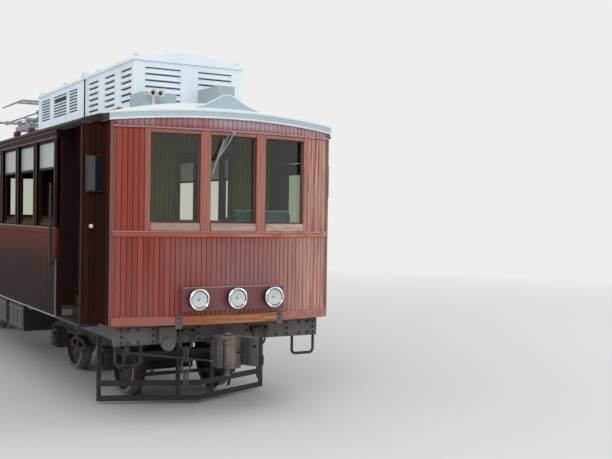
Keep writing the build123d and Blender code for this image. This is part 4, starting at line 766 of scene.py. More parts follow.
class RAILCAR_OT_stage(bpy.types.Operator):
    """Floor, soft light and the camera"""

    bl_idname = "railcar.stage"
    bl_label = "Studio and camera"

    def execute(self, context):
        colours = context.scene.railcar_colours
        material, tree, base, place = shader("studio floor", 0.9)
        base["Base Color"].default_value = colours.floor
        base["Specular IOR Level"].default_value = 0.1
        # far from the car the floor takes the backdrop's tone, so no horizon shows
        distance = add_node(tree, "ShaderNodeVectorMath", {0: place}, "Value", operation="LENGTH")
        far = add_node(tree, "ShaderNodeMapRange", {"Value": distance, "From Min": 6.5, "From Max": 21.0})
        hazy = add_node(tree, "ShaderNodeMath", {0: far, 1: seen_rays(tree)}, operation="MULTIPLY")
        haze = add_node(tree, "ShaderNodeEmission", {"Color": colours.backdrop, "Strength": 1.0})
        near = tree.nodes["Principled BSDF"].outputs["BSDF"]
        blended = add_node(tree, "ShaderNodeMixShader", {0: hazy, 1: near, 2: haze})
        tree.links.new(blended, tree.nodes["Material Output"].inputs["Surface"])
        mesh = bpy.data.meshes.new("studio_floor")
        reach = 60.0
        corners = [(-reach, -reach, 0), (reach, -reach, 0), (reach, reach, 0), (-reach, reach, 0)]
        mesh.from_pydata(corners, [], [(0, 1, 2, 3)])
        mesh.materials.append(material)
        new_object("studio_floor", mesh)

        world = bpy.data.worlds.new("studio")
        context.scene.world = world
        world.use_nodes = True
        tree = world.node_tree
        light = tree.nodes["Background"]
        light.inputs["Color"].default_value = linear("#eef3f8")
        light.inputs["Strength"].default_value = 0.85
        view = add_node(tree, "ShaderNodeBackground", {"Color": colours.backdrop, "Strength": 1.0})
        shown = add_node(tree, "ShaderNodeMixShader", {0: seen_rays(tree), 1: light.outputs[0], 2: view})
        tree.links.new(shown, tree.nodes["World Output"].inputs["Surface"])

        for name, place, size, power in (
            ("key_light", (-7.0, -15.0, 9.0), 7.0, 520.0),
            ("fill_light", (13.0, -8.0, 8.0), 8.0, 320.0),
            ("rear_light", (4.0, 14.0, 9.0), 8.0, 320.0),
        ):
            lamp = bpy.data.lights.new(name, "AREA")
            lamp.size = size
            lamp.energy = power
            holder = new_object(name, lamp)
            holder.location = place
            aim = Vector((0, math.copysign(2.0, place[1]), 1.5)) - Vector(place)
            holder.rotation_euler = aim.to_track_quat("-Z", "Y").to_euler()

        # the photograph's viewing angle: place, heading, slope and roll, and its focal length in pixels
        lens = bpy.data.cameras.new("camera")
        lens.sensor_width = 36.0
        lens.lens = lens.sensor_width * 909.5 / 612
        lens.clip_end = 300.0
        camera = new_object("camera", lens)
        place = (-3.962, -14.017, 2.05)
        yaw, pitch, roll = (math.radians(v) for v in (30.37, 0.90, -0.87))
        ahead = Vector((math.sin(yaw) * math.cos(pitch), math.cos(yaw) * math.cos(pitch), -math.sin(pitch)))
        right = Vector((math.cos(yaw), -math.sin(yaw), 0.0))
        down = ahead.cross(right)
        across = math.cos(roll) * right + math.sin(roll) * down
        up = math.sin(roll) * right - math.cos(roll) * down
        camera.matrix_world = Matrix([*zip(across, up, -ahead, place), (0, 0, 0, 1)])
        context.scene.camera = camera
        context.scene.view_settings.view_transform = "Standard"
        return {"FINISHED"}


NODE_FINISHES = {
    "front": ("cab_shell_front", "cab_shell_rear"),
    "side": ("side_wall_left", "side_wall_right"),
    "dark_wood": ("bulkheads", "door_front_left", "door_front_right", "door_rear_left", "door_rear_right"),
    "floor": ("floor",),
    "long_roof": ("roof",),
    "roof": ("roof_end_front", "roof_end_rear"),
    "housing": ("louvre_housing_front", "louvre_housing_rear"),
    "roof_box": ("roof_boxes",),
    "glass": ("end_windows",),
    "frosted": ("side_windows",),
    "bench": ("seats",),
    "teal": ("driver_desks",),
    "cream": ("horns",),
    "panto": (
        "pantograph_base",
        "pantograph_lower_arm_front",
        "pantograph_lower_arm_rear",
        "pantograph_upper_arm_front",
        "pantograph_upper_arm_rear",
        "pantograph_head",
    ),
    "lamp_board": ("lamp_boards", "headlamps"),
    "headstock": ("underframe",),
    "coupler": ("coupler_front", "coupler_rear"),
    "chain": ("safety_chains",),
    "black": ("underfloor_boxes", "air_reservoirs", "handrails", "pilots_and_steps"),
    "gear": ("bogie_frame_front", "bogie_frame_rear", "motors_front", "motors_rear"),
    "wheel": ("wheelset_1", "wheelset_2", "wheelset_3", "wheelset_4"),
}


class RAILCAR_OT_finishes(bpy.types.Operator):
    """Finishes on every solid of the car"""

    bl_idname = "railcar.finishes"
    bl_label = "Finishes"

    def execute(self, context):
        make_finishes()
        for finish, names in NODE_FINISHES.items():
            for name in names:
                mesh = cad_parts[name].data
                mesh.materials.clear()
                mesh.materials.append(FINISHES[finish])
        return {"FINISHED"}


class RAILCAR_OT_boards(bpy.types.Operator):
    """Tongued boards on the ends, the returns, the sides and the cab's lining"""

    bl_idname = "railcar.boards"
    bl_label = "Boards"

    def execute(self, context):
        sizes = context.scene.railcar_sizes
        pitch = sizes.board_pitch
        values = {"Pitch": pitch, "Proud": 2 * sizes.board_proud, "Groove": sizes.board_groove}
        half, post = 1.158, 0.9
        ends = []
        for low_x, high_x, bottom, top in (
            (-half, half, 1.055, BELT_LOW),
            (-half, -post, BELT_HIGH, DRIP_LOW),
            (post, half, BELT_HIGH, DRIP_LOW),
            (-half, half, DRIP_HIGH, lip_z),
        ):
            ends += front_boards(low_x, high_x, bottom, top, pitch)
        repeat("end_boards", "tongued_boards", turned(ends), values, "front")
        post_back = FRONT_Y + 0.01
        low_z, cab_top = 1.0, LIP_CORNER - 0.04
        returns = []
        for start, end, top in (
            ((-CAB_HALF, SHOULDER_Y), (-CAB_HALF, post_back), cab_top),
            ((CAB_HALF, post_back), (CAB_HALF, SHOULDER_Y), cab_top),
            ((-BODY_HALF + 0.02, SHOULDER_Y), (-CAB_HALF, SHOULDER_Y), EAVE_LOW),
            ((CAB_HALF, SHOULDER_Y), (BODY_HALF - 0.02, SHOULDER_Y), EAVE_LOW),
        ):
            returns += flat_boards(start, end, low_z, top, pitch)
        repeat("return_boards", "tongued_boards", turned(returns), values, "side")
        start, end = (-BODY_HALF, SALOON_Y - 0.05), (-BODY_HALF, -SALOON_Y + 0.05)
        sides = flat_boards(start, end, SILL_Z + 0.05, BELT_LOW, pitch)
        repeat("side_boards", "tongued_boards", turned(sides), values, "side")
        lining_half, ceiling = 1.14, 2.95
        lining = []
        for low_x, high_x, low_z in (
            (-lining_half, AISLE_LOW, FLOOR_Z),
            (AISLE_HIGH, lining_half, FLOOR_Z),
            (AISLE_LOW, AISLE_HIGH, DOORWAY_HIGH),
        ):
            lining += flat_boards((low_x, -SALOON_Y), (high_x, -SALOON_Y), low_z, ceiling, pitch)
            lining += flat_boards((high_x, SALOON_Y), (low_x, SALOON_Y), low_z, ceiling, pitch)
        # thin boards, so that an open door clears them
        repeat("cab_lining_boards", "tongued_boards", lining, dict(values, Proud=0.006), "cab_lining")
        return {"FINISHED"}


class RAILCAR_OT_mouldings(bpy.types.Operator):
    """Posts, rails, sills, beads and the roof's white lip"""

    bl_idname = "railcar.mouldings"
    bl_label = "Mouldings"

    def execute(self, context):
        # strips on the ends: low x, high x, low z, high z, how proud, how deep, steps
        posts = [(low + 0.003, high - 0.003, BELT_HIGH, DRIP_LOW, 0.017, 0.03, 4) for low, high in MIDDLE_POSTS]
        posts += [(low, high, BELT_HIGH, DRIP_LOW, 0.017, 0.03, 3) for low, high in OUTER_POSTS]
        posts += [(low, high, WINDOW_HIGH, DRIP_LOW, 0.012, 0.03, 8) for low, high in END_WINDOWS]
        bowed("end_window_posts", "frame", 0.004, posts)
        outline = [(-0.045, 0.0), (0.0, 0.0), (0.0, 0.008), (0.012, 0.008), (0.012, -0.012), (-0.045, -0.012)]
        corners = Shape().prism([(CAB_HALF + u, FRONT_Y + v) for u, v in outline], 0.96, LIP_CORNER - 0.012, True)
        piece("corner_posts", corners.mirror().turn(), "bead", bevel=0.005)
        belt = (-1.19, 1.19, BELT_LOW + 0.002, BELT_HIGH - 0.002, 0.024, 0.03, 24)
        bowed("end_belt_rails", "belt", 0.006, [belt])
        rails = [
            (-1.195, 1.195, BELT_HIGH - 0.004, BELT_HIGH + 0.008, 0.032, 0.036, 24),
            (-1.195, 1.195, DRIP_LOW, DRIP_HIGH, 0.03, 0.03, 24),
        ]
        bowed("end_drip_rails", "nosing", 0.004, rails)
        sill_z = (BELT_HIGH + 0.01, WINDOW_LOW - 0.004)
        sills = [(low + 0.004, high - 0.004, *sill_z, 0.022, 0.03, 8) for low, high in END_WINDOWS]
        bowed("end_window_sills", "sill_block", 0.006, sills)
        beams = [(low, high, 0.965, 1.05, 0.03, 0.04, 8) for low, high in ((-1.195, -0.595), (0.58, 1.195))]
        bowed("end_sill_beams", "beam", 0.006, beams)
        bowed("middle_sill_beams", "middle_sill", 0.006, [(-0.53, 0.505, 0.962, 1.052, 0.036, 0.04, 10)])
        straps = [(low, high, 0.93, 1.058, 0.032, 0.03, 2) for low, high in ((-0.592, -0.532), (0.507, 0.577))]
        bowed("sill_straps", "headstock", 0.003, straps)
        lips = [
            (-LIP_HALF, LIP_HALF, lambda x: lip_z(x) - 0.006, lambda x: lip_z(x) + 0.013, 0.036, 0.02, 28),
            (-LIP_HALF, LIP_HALF, lambda x: lip_z(x) + 0.058, lambda x: lip_z(x) + 0.076, 0.036, 0.02, 28),
        ]
        bowed("roof_end_lips", "lip", 0.004, lips)

        middles = [(number - 5) * BAY for number in range(11)]
        posts = [on_side(0.02, y - 0.03, y + 0.03, BELT_HIGH, 2.84, 0.01) for y in middles]
        boxed("side_posts", "dark_wood", 0.006, posts)
        edges = [y + step for y in middles for step in (-0.044, 0.044)]
        beads = [on_side(0.008, y - 0.006, y + 0.006, SIDE_WINDOW_LOW, SIDE_WINDOW_HIGH, 0.03) for y in edges]
        for proud, low_z, high_z in (
            (0.026, BELT_HIGH - 0.004, BELT_HIGH + 0.016),
            (0.02, 2.826, 2.84),
            (0.02, 2.893, 2.904),
        ):
            beads.append(on_side(proud, -SALOON_Y, SALOON_Y, low_z, high_z))
        boxed("side_beads", "side_bead", 0.002, beads)
        rails = [
            on_side(0.02, -SALOON_Y, SALOON_Y, BELT_LOW, BELT_HIGH - 0.006),
            on_side(0.014, -SALOON_Y, SALOON_Y, SILL_Z, SILL_Z + 0.05),
        ]
        rails += [on_side(0.012, y, y + 0.048, SILL_Z, EAVE_LOW) for y in (-SALOON_Y - 0.002, SALOON_Y - 0.046)]
        boxed("side_rails", "side", 0.004, rails)
        edges = [on_side(0.014, y - 0.004, y + 0.004, 0.945, 1.55, -0.002) for y in (-SALOON_Y, SALOON_Y)]
        edges.append(on_side(0.014, -SALOON_Y, SALOON_Y, 0.942, 0.952))
        boxed("side_metal_edges", "steel", 0.0, edges)
        return {"FINISHED"}


class RAILCAR_OT_sashes(bpy.types.Operator):
    """Window frames of the saloon and the seals of the end windows"""

    bl_idname = "railcar.sashes"
    bl_label = "Window sashes"

    def execute(self, context):
        rails = []
        for y in BAY_YS:
            low, high = y - SIDE_WINDOW_HALF, y + SIDE_WINDOW_HALF
            rails += [
                on_side(-0.02, low, high, PANE_LOW - 0.022, PANE_LOW + 0.006, 0.05),
                on_side(-0.02, low, high, SIDE_WINDOW_HIGH - 0.02, SIDE_WINDOW_HIGH, 0.05),
                on_side(-0.02, low, high, SIDE_WINDOW_LOW, SIDE_WINDOW_LOW + 0.035, 0.055),
                on_side(-0.02, low, low + 0.022, SIDE_WINDOW_LOW, SIDE_WINDOW_HIGH, 0.055),
                on_side(-0.02, high - 0.022, high, SIDE_WINDOW_LOW, SIDE_WINDOW_HIGH, 0.055),
            ]
        boxed("side_sash_frames", "dark_wood", 0.003, rails)
        wide = 0.012
        seals = []
        for low, high in END_WINDOWS:
            seals += [(x, x + wide, WINDOW_LOW, WINDOW_HIGH, -0.02, 0.03, 2) for x in (low, high - wide)]
            seals += [(low, high, z, z + wide, -0.02, 0.03, 8) for z in (WINDOW_LOW, WINDOW_HIGH - wide)]
        bowed("end_window_seals", "seal", 0.002, seals)
        return {"FINISHED"}


DOORS = (
    # name, side, end
    ("door_front_left", -1, -1),
    ("door_front_right", 1, -1),
    ("door_rear_left", -1, 1),
    ("door_rear_right", 1, 1),
)


class RAILCAR_OT_doors(bpy.types.Operator):
    """Panels, glass, handles and kick plates on the entrance doors"""

    bl_idname = "railcar.doors"
    bl_label = "Doors"

    def execute(self, context):
        for name, side, end in DOORS:
            glass, wood, metal = Shape(), Shape(), Shape()
            free, hinged = (end * (CORNER_Y - t) for t in (0.368, 1.182))
            outer, inner = side * CAB_HALF, side * (CAB_HALF - 0.04)
            pane = (side * (CAB_HALF - 0.017), side * (CAB_HALF - 0.023))
            glass.box(pane[0], free - end * 0.11, 1.9, pane[1], hinged + end * 0.11, 2.51)
            for face, front in ((outer, side * (CAB_HALF + 0.006)), (inner, side * (CAB_HALF - 0.043))):
                for low_z, high_z in ((1.2, 1.45), (1.52, 1.8)):
                    wood.box(face, free - end * 0.1, low_z, front, hinged + end * 0.1, high_z)
                ys = (free - end * 0.094, hinged + end * 0.094)
                for z in (1.885, 2.505):
                    wood.box(face, ys[0], z, front, ys[1], z + 0.018)
                for y in ys:
                    wood.box(face, y - 0.009, 1.885, front, y + 0.009, 2.523)
                metal.box(face, free - end * 0.05, 1.08, front, hinged + end * 0.05, 1.17)
            # the inner grip stands close to the door, which opens against the partition
            y = free - end * 0.055
            grips = (outer + side * 0.05, inner - side * 0.018)
            for x in grips:
                metal.tube([(x, y, 1.55), (x, y, 1.85)], 0.009, 12)
            for z in (1.58, 1.82):
                metal.tube([(grips[0], y, z), (grips[1], y, z)], 0.008, 10)
            piece(f"{name}_glass", glass, "glass", name)
            piece(f"{name}_panels", wood, "dark_wood", name, bevel=0.003)
            piece(f"{name}_metalwork", metal, "brass", name, bevel=0.002)
        return {"FINISHED"}


class RAILCAR_OT_front_fittings(bpy.types.Operator):
    """Wipers, mirrors, call knobs and the plates and bolts of the headstocks"""

    bl_idname = "railcar.front_fittings"
    bl_label = "End fittings"

    def execute(self, context):
        wipers = Shape()
        wipers.tube([on_bow(-0.025, 0.045, 2.852), on_bow(-0.1, 0.06, 2.735), on_bow(-0.177, 0.03, 2.612)], 0.006, 8)
        wipers.tube([on_bow(-0.075, 0.04, 2.845), on_bow(-0.192, 0.03, 2.58)], 0.004, 8)
        wipers.tube([on_bow(-0.112, 0.006, 2.79), on_bow(-0.24, 0.006, 2.435)], 0.008, 8)
        boss = [(0.0, 0.0), (0.0, 0.022), (0.05, 0.018), (0.055, 0.0)]
        wipers.lathe(boss, on_bow(-0.025, 0.0, 2.852), FORWARD, 16)
        piece("window_wipers", wipers.turn(), "panto")

        y = SHOULDER_Y
        mirrors = Shape().box(-1.37, y - 0.075, 2.246, -1.212, y - 0.045, 2.6)
        for z in (2.36, 2.5):
            mirrors.tube([(-1.29, y - 0.05, z), (-1.29, y, z)], 0.008, 8)
        faces = Shape().box(-1.362, y - 0.08, 2.256, -1.22, y - 0.07, 2.59)
        piece("driver_mirrors", mirrors.mirror().turn(), "black", bevel=0.006)
        # the mirrors' faces carry a painted dark reflection
        piece("driver_mirror_glass", faces.mirror().turn(), "dark_glass", bevel=0.002)
        ball = [(0.03 - u, v) for u, v in arc(0.022, 0, 180, 10)]
        ball[0], ball[-1] = (0.008, 0.0), (0.052, 0.0)
        knobs = Shape().lathe(ball, (-1.305, y - 0.01, 1.913), FORWARD, 20)
        piece("call_knobs", knobs.mirror().turn(), "cream", smooth=60)

        strap_xs = (-1.07, -0.75, -0.27, 0.27, 0.75, 1.07)
        plates = []
        for low_x, high_x in ((-1.115, -0.72), (-0.3, -0.03), (0.0, 0.3), (0.52, 1.115)):
            plates.append((low_x, HEAD_FRONT - 0.008, 0.772, high_x, HEAD_FRONT, 0.93))
        plates += [(x - 0.03, HEAD_FRONT - 0.014, 0.768, x + 0.03, HEAD_FRONT, 0.935) for x in strap_xs]
        boxed("headstock_plates", "headstock", 0.003, plates)
        heads = [(x, HEAD_FRONT - 0.018, z) for x in strap_xs for z in (0.79, 0.85, 0.91)]
        heads += [(-0.25 + 0.0625 * k, HEAD_FRONT - 0.012, 0.785) for k in range(9)]
        heads += [(x, HEAD_FRONT - 0.012, z) for x in (-1.0, -0.9, 0.62, 0.9, 1.0) for z in (0.79, 0.91)]
        radius = context.scene.railcar_sizes.bolt_radius
        bolts("headstock_bolts", turned(facing(heads, FORWARD)), radius, 0.012, "gear")
        heads = [on_bow(x, 0.034, z) for x in (-0.562, 0.542) for z in (0.985, 1.03)]
        bolts("strap_bolts", turned(facing(heads, FORWARD)), 0.009, 0.01, "gear")
        heads = [(-0.16 + 0.032 * k, HEAD_FRONT - 0.006, 0.752) for k in range(11)]
        bolts("coupler_pocket_bolts", turned(facing(heads, FORWARD)), 0.011, 0.02, "coupler")
        return {"FINISHED"}


class RAILCAR_OT_lamps(bpy.types.Operator):
    """Headlamps with their rims, reflectors and glasses"""

    bl_idname = "railcar.lamps"
    bl_label = "Headlamps"

    def execute(self, context):
        def lamp_part(name, finish, profile, sides, inset=0.025):
            shape = Shape()
            for x in LAMP_XS:
                shape.lathe(profile, (x, BOARD_FRONT - inset, LAMP_Z), FORWARD, sides)
            return piece(name, shape.turn(), finish)

        bucket = [(0, 0), (0, 0.088), (0.03, 0.1), (0.075, 0.1), (0.075, 0.09), (0.055, 0.088), (0.055, 0)]
        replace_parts(lamp_part("lamp_buckets", "black", bucket, 32, 0.0), "headlamps")
        half = 0.556
        edge = (-half, BOARD_FRONT - 0.002, 1.325, half, BOARD_FRONT + 0.03, 1.333)
        boxed("lamp_board_edges", "nosing", 0.002, [edge])
        rim = [(0.044, 0.088), (0.044, 0.101), (0.052, 0.106), (0.064, 0.103), (0.07, 0.094), (0.066, 0.087)]
        lamp_part("lamp_rims", "chrome", rim + rim[:1], 48)
        seal = [(0.05, 0.082), (0.05, 0.089), (0.0665, 0.089), (0.0665, 0.083)]
        lamp_part("lamp_seals", "seal", seal + seal[:1], 48)
        bowl = [(0.041, 0.012), (0.043, 0.035), (0.049, 0.06), (0.057, 0.08), (0.041, 0.08)]
        lamp_part("lamp_reflectors", "mirror", bowl, 40)
        lamp_part("lamp_bulbs", "steel", [(0.041, 0.012), (0.052, 0.012), (0.057, 0.008), (0.058, 0.0)], 20)
        dome = [(0.062 + 0.016 * u, 0.08 * v) for u, v in arc(1.0, 0, 90, 7)]
        inside = [(along - 0.003, radius * 0.96) for along, radius in reversed(dome)]
        lamp_part("lamp_glasses", "lens", list(reversed(dome + inside)), 40)
        return {"FINISHED"}


class RAILCAR_OT_chains(bpy.types.Operator):
    """Safety chains with round links, shackles and bolts"""

    bl_idname = "railcar.chains"
    bl_label = "Safety chains"

    def execute(self, context):
        y = HEAD_FRONT - 0.042
        bolt_z = 0.862
        links, shackles, pins = [], [], Shape()
        for x in (-0.41, 0.41):
            shackles.append(((x, y, 0.7925), (0, 0, 0), (1, 1, 1)))
            for number in range(3):
                turn = 0 if number % 2 else math.pi / 2
                links.append(((x, y, 0.6505 - 0.117 * number), (0, 0, turn), (1, 1, 1)))
            pins.tube([(x - 0.1, y, bolt_z), (x + 0.1, y, bolt_z)], 0.014)
            eye = [(u + y, v + bolt_z) for u, v in arc(0.03, 90, 270, 9)]
            eye += [(HEAD_FRONT, bolt_z - 0.03), (HEAD_FRONT, bolt_z + 0.03)]
            for lug in (x - 0.081, x + 0.081):
                pins.prism(eye, lug - 0.009, lug + 0.009)
        link = {"Half width": 0.043, "Half straight": 0.0275, "Bar radius": context.scene.railcar_sizes.chain_bar}
        chains = repeat("safety_chain_links", "chain_links", turned(links), link, "chain", smooth=60)
        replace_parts(chains, "safety_chains")
        shackle = dict(link, **{"Half width": 0.063, "Half straight": 0.0325})
        repeat("safety_chain_shackles", "chain_links", turned(shackles), shackle, "chain", smooth=60)
        piece("safety_chain_bolts", pins.turn(), "chain", bevel=0.002)
        return {"FINISHED"}


class RAILCAR_OT_roof_fittings(bpy.types.Operator):
    """Trims of the louvred housings, conduits, hood covers and horns on the roof"""

    bl_idname = "railcar.roof_fittings"
    bl_label = "Roof fittings"

    def execute(self, context):
        low = roof_z(HOUSING_HALF) + 0.002
        start, end = 0.98, 5.04
        trims, caps, conduits = Shape(), Shape(), Shape()
        for t in (1.5, 1.57, 2.1, 2.2, 3.56, 4.33):
            y = FRONT_Y + t + 0.012
            trims.box(HOUSING_HALF - 0.004, y, low, HOUSING_HALF + 0.004, y + 0.008, HOUSING_EAVE)
        for t in (start, 2.74, 2.9, 3.05, 5.0):
            y = FRONT_Y + t
            trims.box(HOUSING_HALF - 0.02, y, low, HOUSING_HALF + 0.007, y + 0.04, HOUSING_EAVE)
        for t, out in ((start, -1), (end, 1)):
            for x in (0.04, 0.59):
                trims.box(x, FRONT_Y + t - out * 0.01, 3.16, x + 0.04, FRONT_Y + t + out * 0.007, HOUSING_EAVE)
        trims.box(HOUSING_HALF, FRONT_Y + start, low, HOUSING_HALF + 0.012, FRONT_Y + end, low + 0.05)
        piece("housing_trims", trims.mirror(), "housing", bevel=0.002)
        cap = [(-0.01, 0.0), (-0.01, 0.026), (0.03, 0.026), (0.036, 0.034), (0.05, 0.03), (0.056, 0.0)]
        for side in SIDES:
            for t in (1.04, 2.36, 3.77, 5.0):
                caps.lathe(cap, (side * 0.6, FRONT_Y + t, 3.72), UP, 20)
            caps.box(side * 0.66, FRONT_Y + 2.76, 3.7, side * 0.585, FRONT_Y + 2.86, 3.775)
            conduits.tube([(side * 0.645, FRONT_Y + 2.75, low), (side * 0.645, FRONT_Y + 2.75, 3.7)], 0.009, 8)
        piece("lifting_caps", caps, "lip", smooth=40)
        piece("housing_conduits", conduits, "black", smooth=60)
        # painted shade: a dark plate at the back of the opening where a slat is missing
        deep = -HOUSING_HALF + 0.03
        gap = Shape().box(deep, FRONT_Y + 3.634, 3.546, deep - 0.012, FRONT_Y + 4.246, 3.584)
        piece("missing_slat_painted_shadow", gap, "louvre_dark")
        # painted shade: dark bars set in each slat's recess, where the louvres' shadow falls
        bars = []
        for columns, end_t, pitch, count in LOUVRES:
            for k in range(count):
                z = LOUVRE_Z - k * pitch
                for low_t, high_t in columns:
                    y = FRONT_Y + (low_t + high_t) / 2
                    for side in SIDES:
                        place = (side * (HOUSING_HALF - 0.025), y, z)
                        bars.append((place, (0, 0, math.pi / 2), (high_t - low_t, 1, 1)))
                for x in (-0.309, 0.309):
                    bars.append(((x, FRONT_Y + end_t, z), (0, 0, 0), (0.41, 1, 0.5)))
        repeat("louvre_painted_shadows", "slats", bars, {"Width": 0.011, "Thickness": 0.015}, "louvre_dark")

        low_y, high_y = FRONT_Y + 0.29, CORNER_Y - 0.29
        edges = Shape().box(ROOF_HALF - 0.002, low_y, EAVE_LOW + 0.004, ROOF_HALF + 0.012, high_y, EAVE_LOW + 0.026)
        piece("eave_edges", edges.mirror(), "side", bevel=0.003)
        pipes = Shape()
        for x, start, end in ((-0.86, -4.9, -0.2), (0.86, -4.9, 4.9), (-0.8, -4.6, -1.8)):
            z = roof_z(x) + 0.022
            pipes.tube([(x, start, z), (x, end, z)], 0.014, 10)
            steps = max(2, round((end - start) / 0.9))
            for k in range(steps + 1):
                y = start + 0.05 + (end - start - 0.1) * k / steps
                pipes.box(x - 0.026, y - 0.012, z - 0.05, x + 0.026, y + 0.012, z + 0.016)
        piece("roof_conduits", pipes, "headstock", smooth=50)

        foot = 0.345
        crest = [(foot, 3.108), (0.25, 3.135), (0.15, 3.188), (0.07, 3.232), (0.0, 3.252)]
        crest = [(-x, z) for x, z in crest] + crest[-2::-1]
        front = FRONT_Y - 0.014
        rows = []
        for y, fall in ((front, 0.0), (SHOULDER_Y, 0.055)):
            rows += [(x, y, z - fall) for x, z in crest] + [(foot, y, 3.04), (-foot, y, 3.04)]
        count = len(rows) // 2
        faces = [tuple(range(count)), tuple(reversed(range(count, 2 * count)))]
        faces += [(k, count + k, count + (k + 1) % count, (k + 1) % count) for k in range(count)]
        piece("hood_covers", Shape().add(rows, faces).turn(), "roof", smooth=20)
        edges = Shape().tube([(x, front - 0.002, z + 0.002) for x, z in crest], 0.008, 8)
        piece("hood_edges", edges.turn(), "lip", smooth=60)

        bells, throats = Shape(), Shape()
        mouth, bell_z = FRONT_Y + 0.33, 3.262
        inside = [(0.05, 0.0), (0.05, 0.012), (0.028, 0.02), (0.0, 0.031)]
        outside = [(-0.002, 0.036), (0.008, 0.037), (0.035, 0.022), (0.09, 0.012), (0.19, 0.009), (0.19, 0.0)]
        throat = [(0.046, 0.0), (0.046, 0.012), (0.03, 0.0185), (0.034, 0.0)]
        for x in (-0.66, -0.58):
            bells.lathe(inside + outside, (x, mouth, bell_z), (0, 1, 0), 28)
            throats.lathe(throat, (x, mouth, bell_z), (0, 1, 0), 20)
        ys = (mouth + 0.1, mouth + 0.124)
        bells.box(-0.672, ys[0], 3.252, -0.568, ys[1], 3.268)
        bells.box(-0.632, ys[0], roof_z(0.62) - 0.01, -0.608, ys[1], 3.256)
        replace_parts(piece("horn_bells", bells, "cream", smooth=40), "horns")
        piece("horn_throats", throats, "rubber", smooth=40)
        return {"FINISHED"}


class RAILCAR_OT_couplers(bpy.types.Operator):
    """Ribs, bolts, pins and the lifting chain of the couplers"""

    bl_idname = "railcar.couplers"
    bl_label = "Couplers"

    def execute(self, context):
        face = FRONT_Y - 0.38
        ribs = Shape()
        for y in (face + 0.085, face + 0.14, face + 0.2):
            ribs.box(-0.222, y, 0.575, -0.2, y + 0.018, 0.8)
        ribs.box(-0.224, face + 0.075, 0.675, -0.2, face + 0.22, 0.697)
        ribs.box(0.2, face + 0.03, 0.675, 0.222, face + 0.18, 0.697)
        for z in (0.572, 0.775):
            ribs.box(-0.15, face + 0.036, z, -0.028, face + 0.06, z + 0.02)
        pin_head = [(0, 0), (0, 0.033), (0.016, 0.033), (0.02, 0.026), (0.02, 0)]
        ribs.lathe(pin_head, (-0.088, face + 0.1, 0.86), UP, 24)
        ribs.lathe([(0, 0), (0, 0.028), (0.02, 0.028), (0.02, 0)], (-0.088, face + 0.1, 0.455), UP, 24)
        for x in (-0.06, 0.06):
            ribs.tube([(x, face + 0.29, 0.775), (x * 1.4, HEAD_FRONT - 0.002, 0.8)], 0.014, 10)
        piece("coupler_castings", ribs.turn(), "coupler", bevel=0.003)
        tops = [(x, face + y, 0.853) for x, y in ((-0.185, 0.1), (-0.185, 0.19), (0.02, 0.11), (0.01, 0.19))]
        fronts = [(x, HEAD_FRONT - 0.046, z) for x in (-0.09, 0.09) for z in (0.62, 0.72)]
        bolts("coupler_bolts", turned(facing(tops, UP) + facing(fronts, FORWARD)), 0.013, 0.014, "rust")
        start = Vector((-0.228, face + 0.2, 0.6))
        along = Vector((-0.13, face + 0.2, 0.56)) - start
        links = []
        for k in range(5):
            tilt = along.to_track_quat("Z", "Y").to_euler()
            tilt.rotate_axis("Z", math.pi / 2 * (k % 2))
            links.append((tuple(start + along * (k + 0.5) / 5), tuple(tilt), (1, 1, 1)))
        link = {"Half width": 0.009, "Half straight": 0.009, "Bar radius": 0.0035}
        repeat("lock_lifting_chains", "chain_links", turned(links), link, "steel", smooth=60)
        return {"FINISHED"}


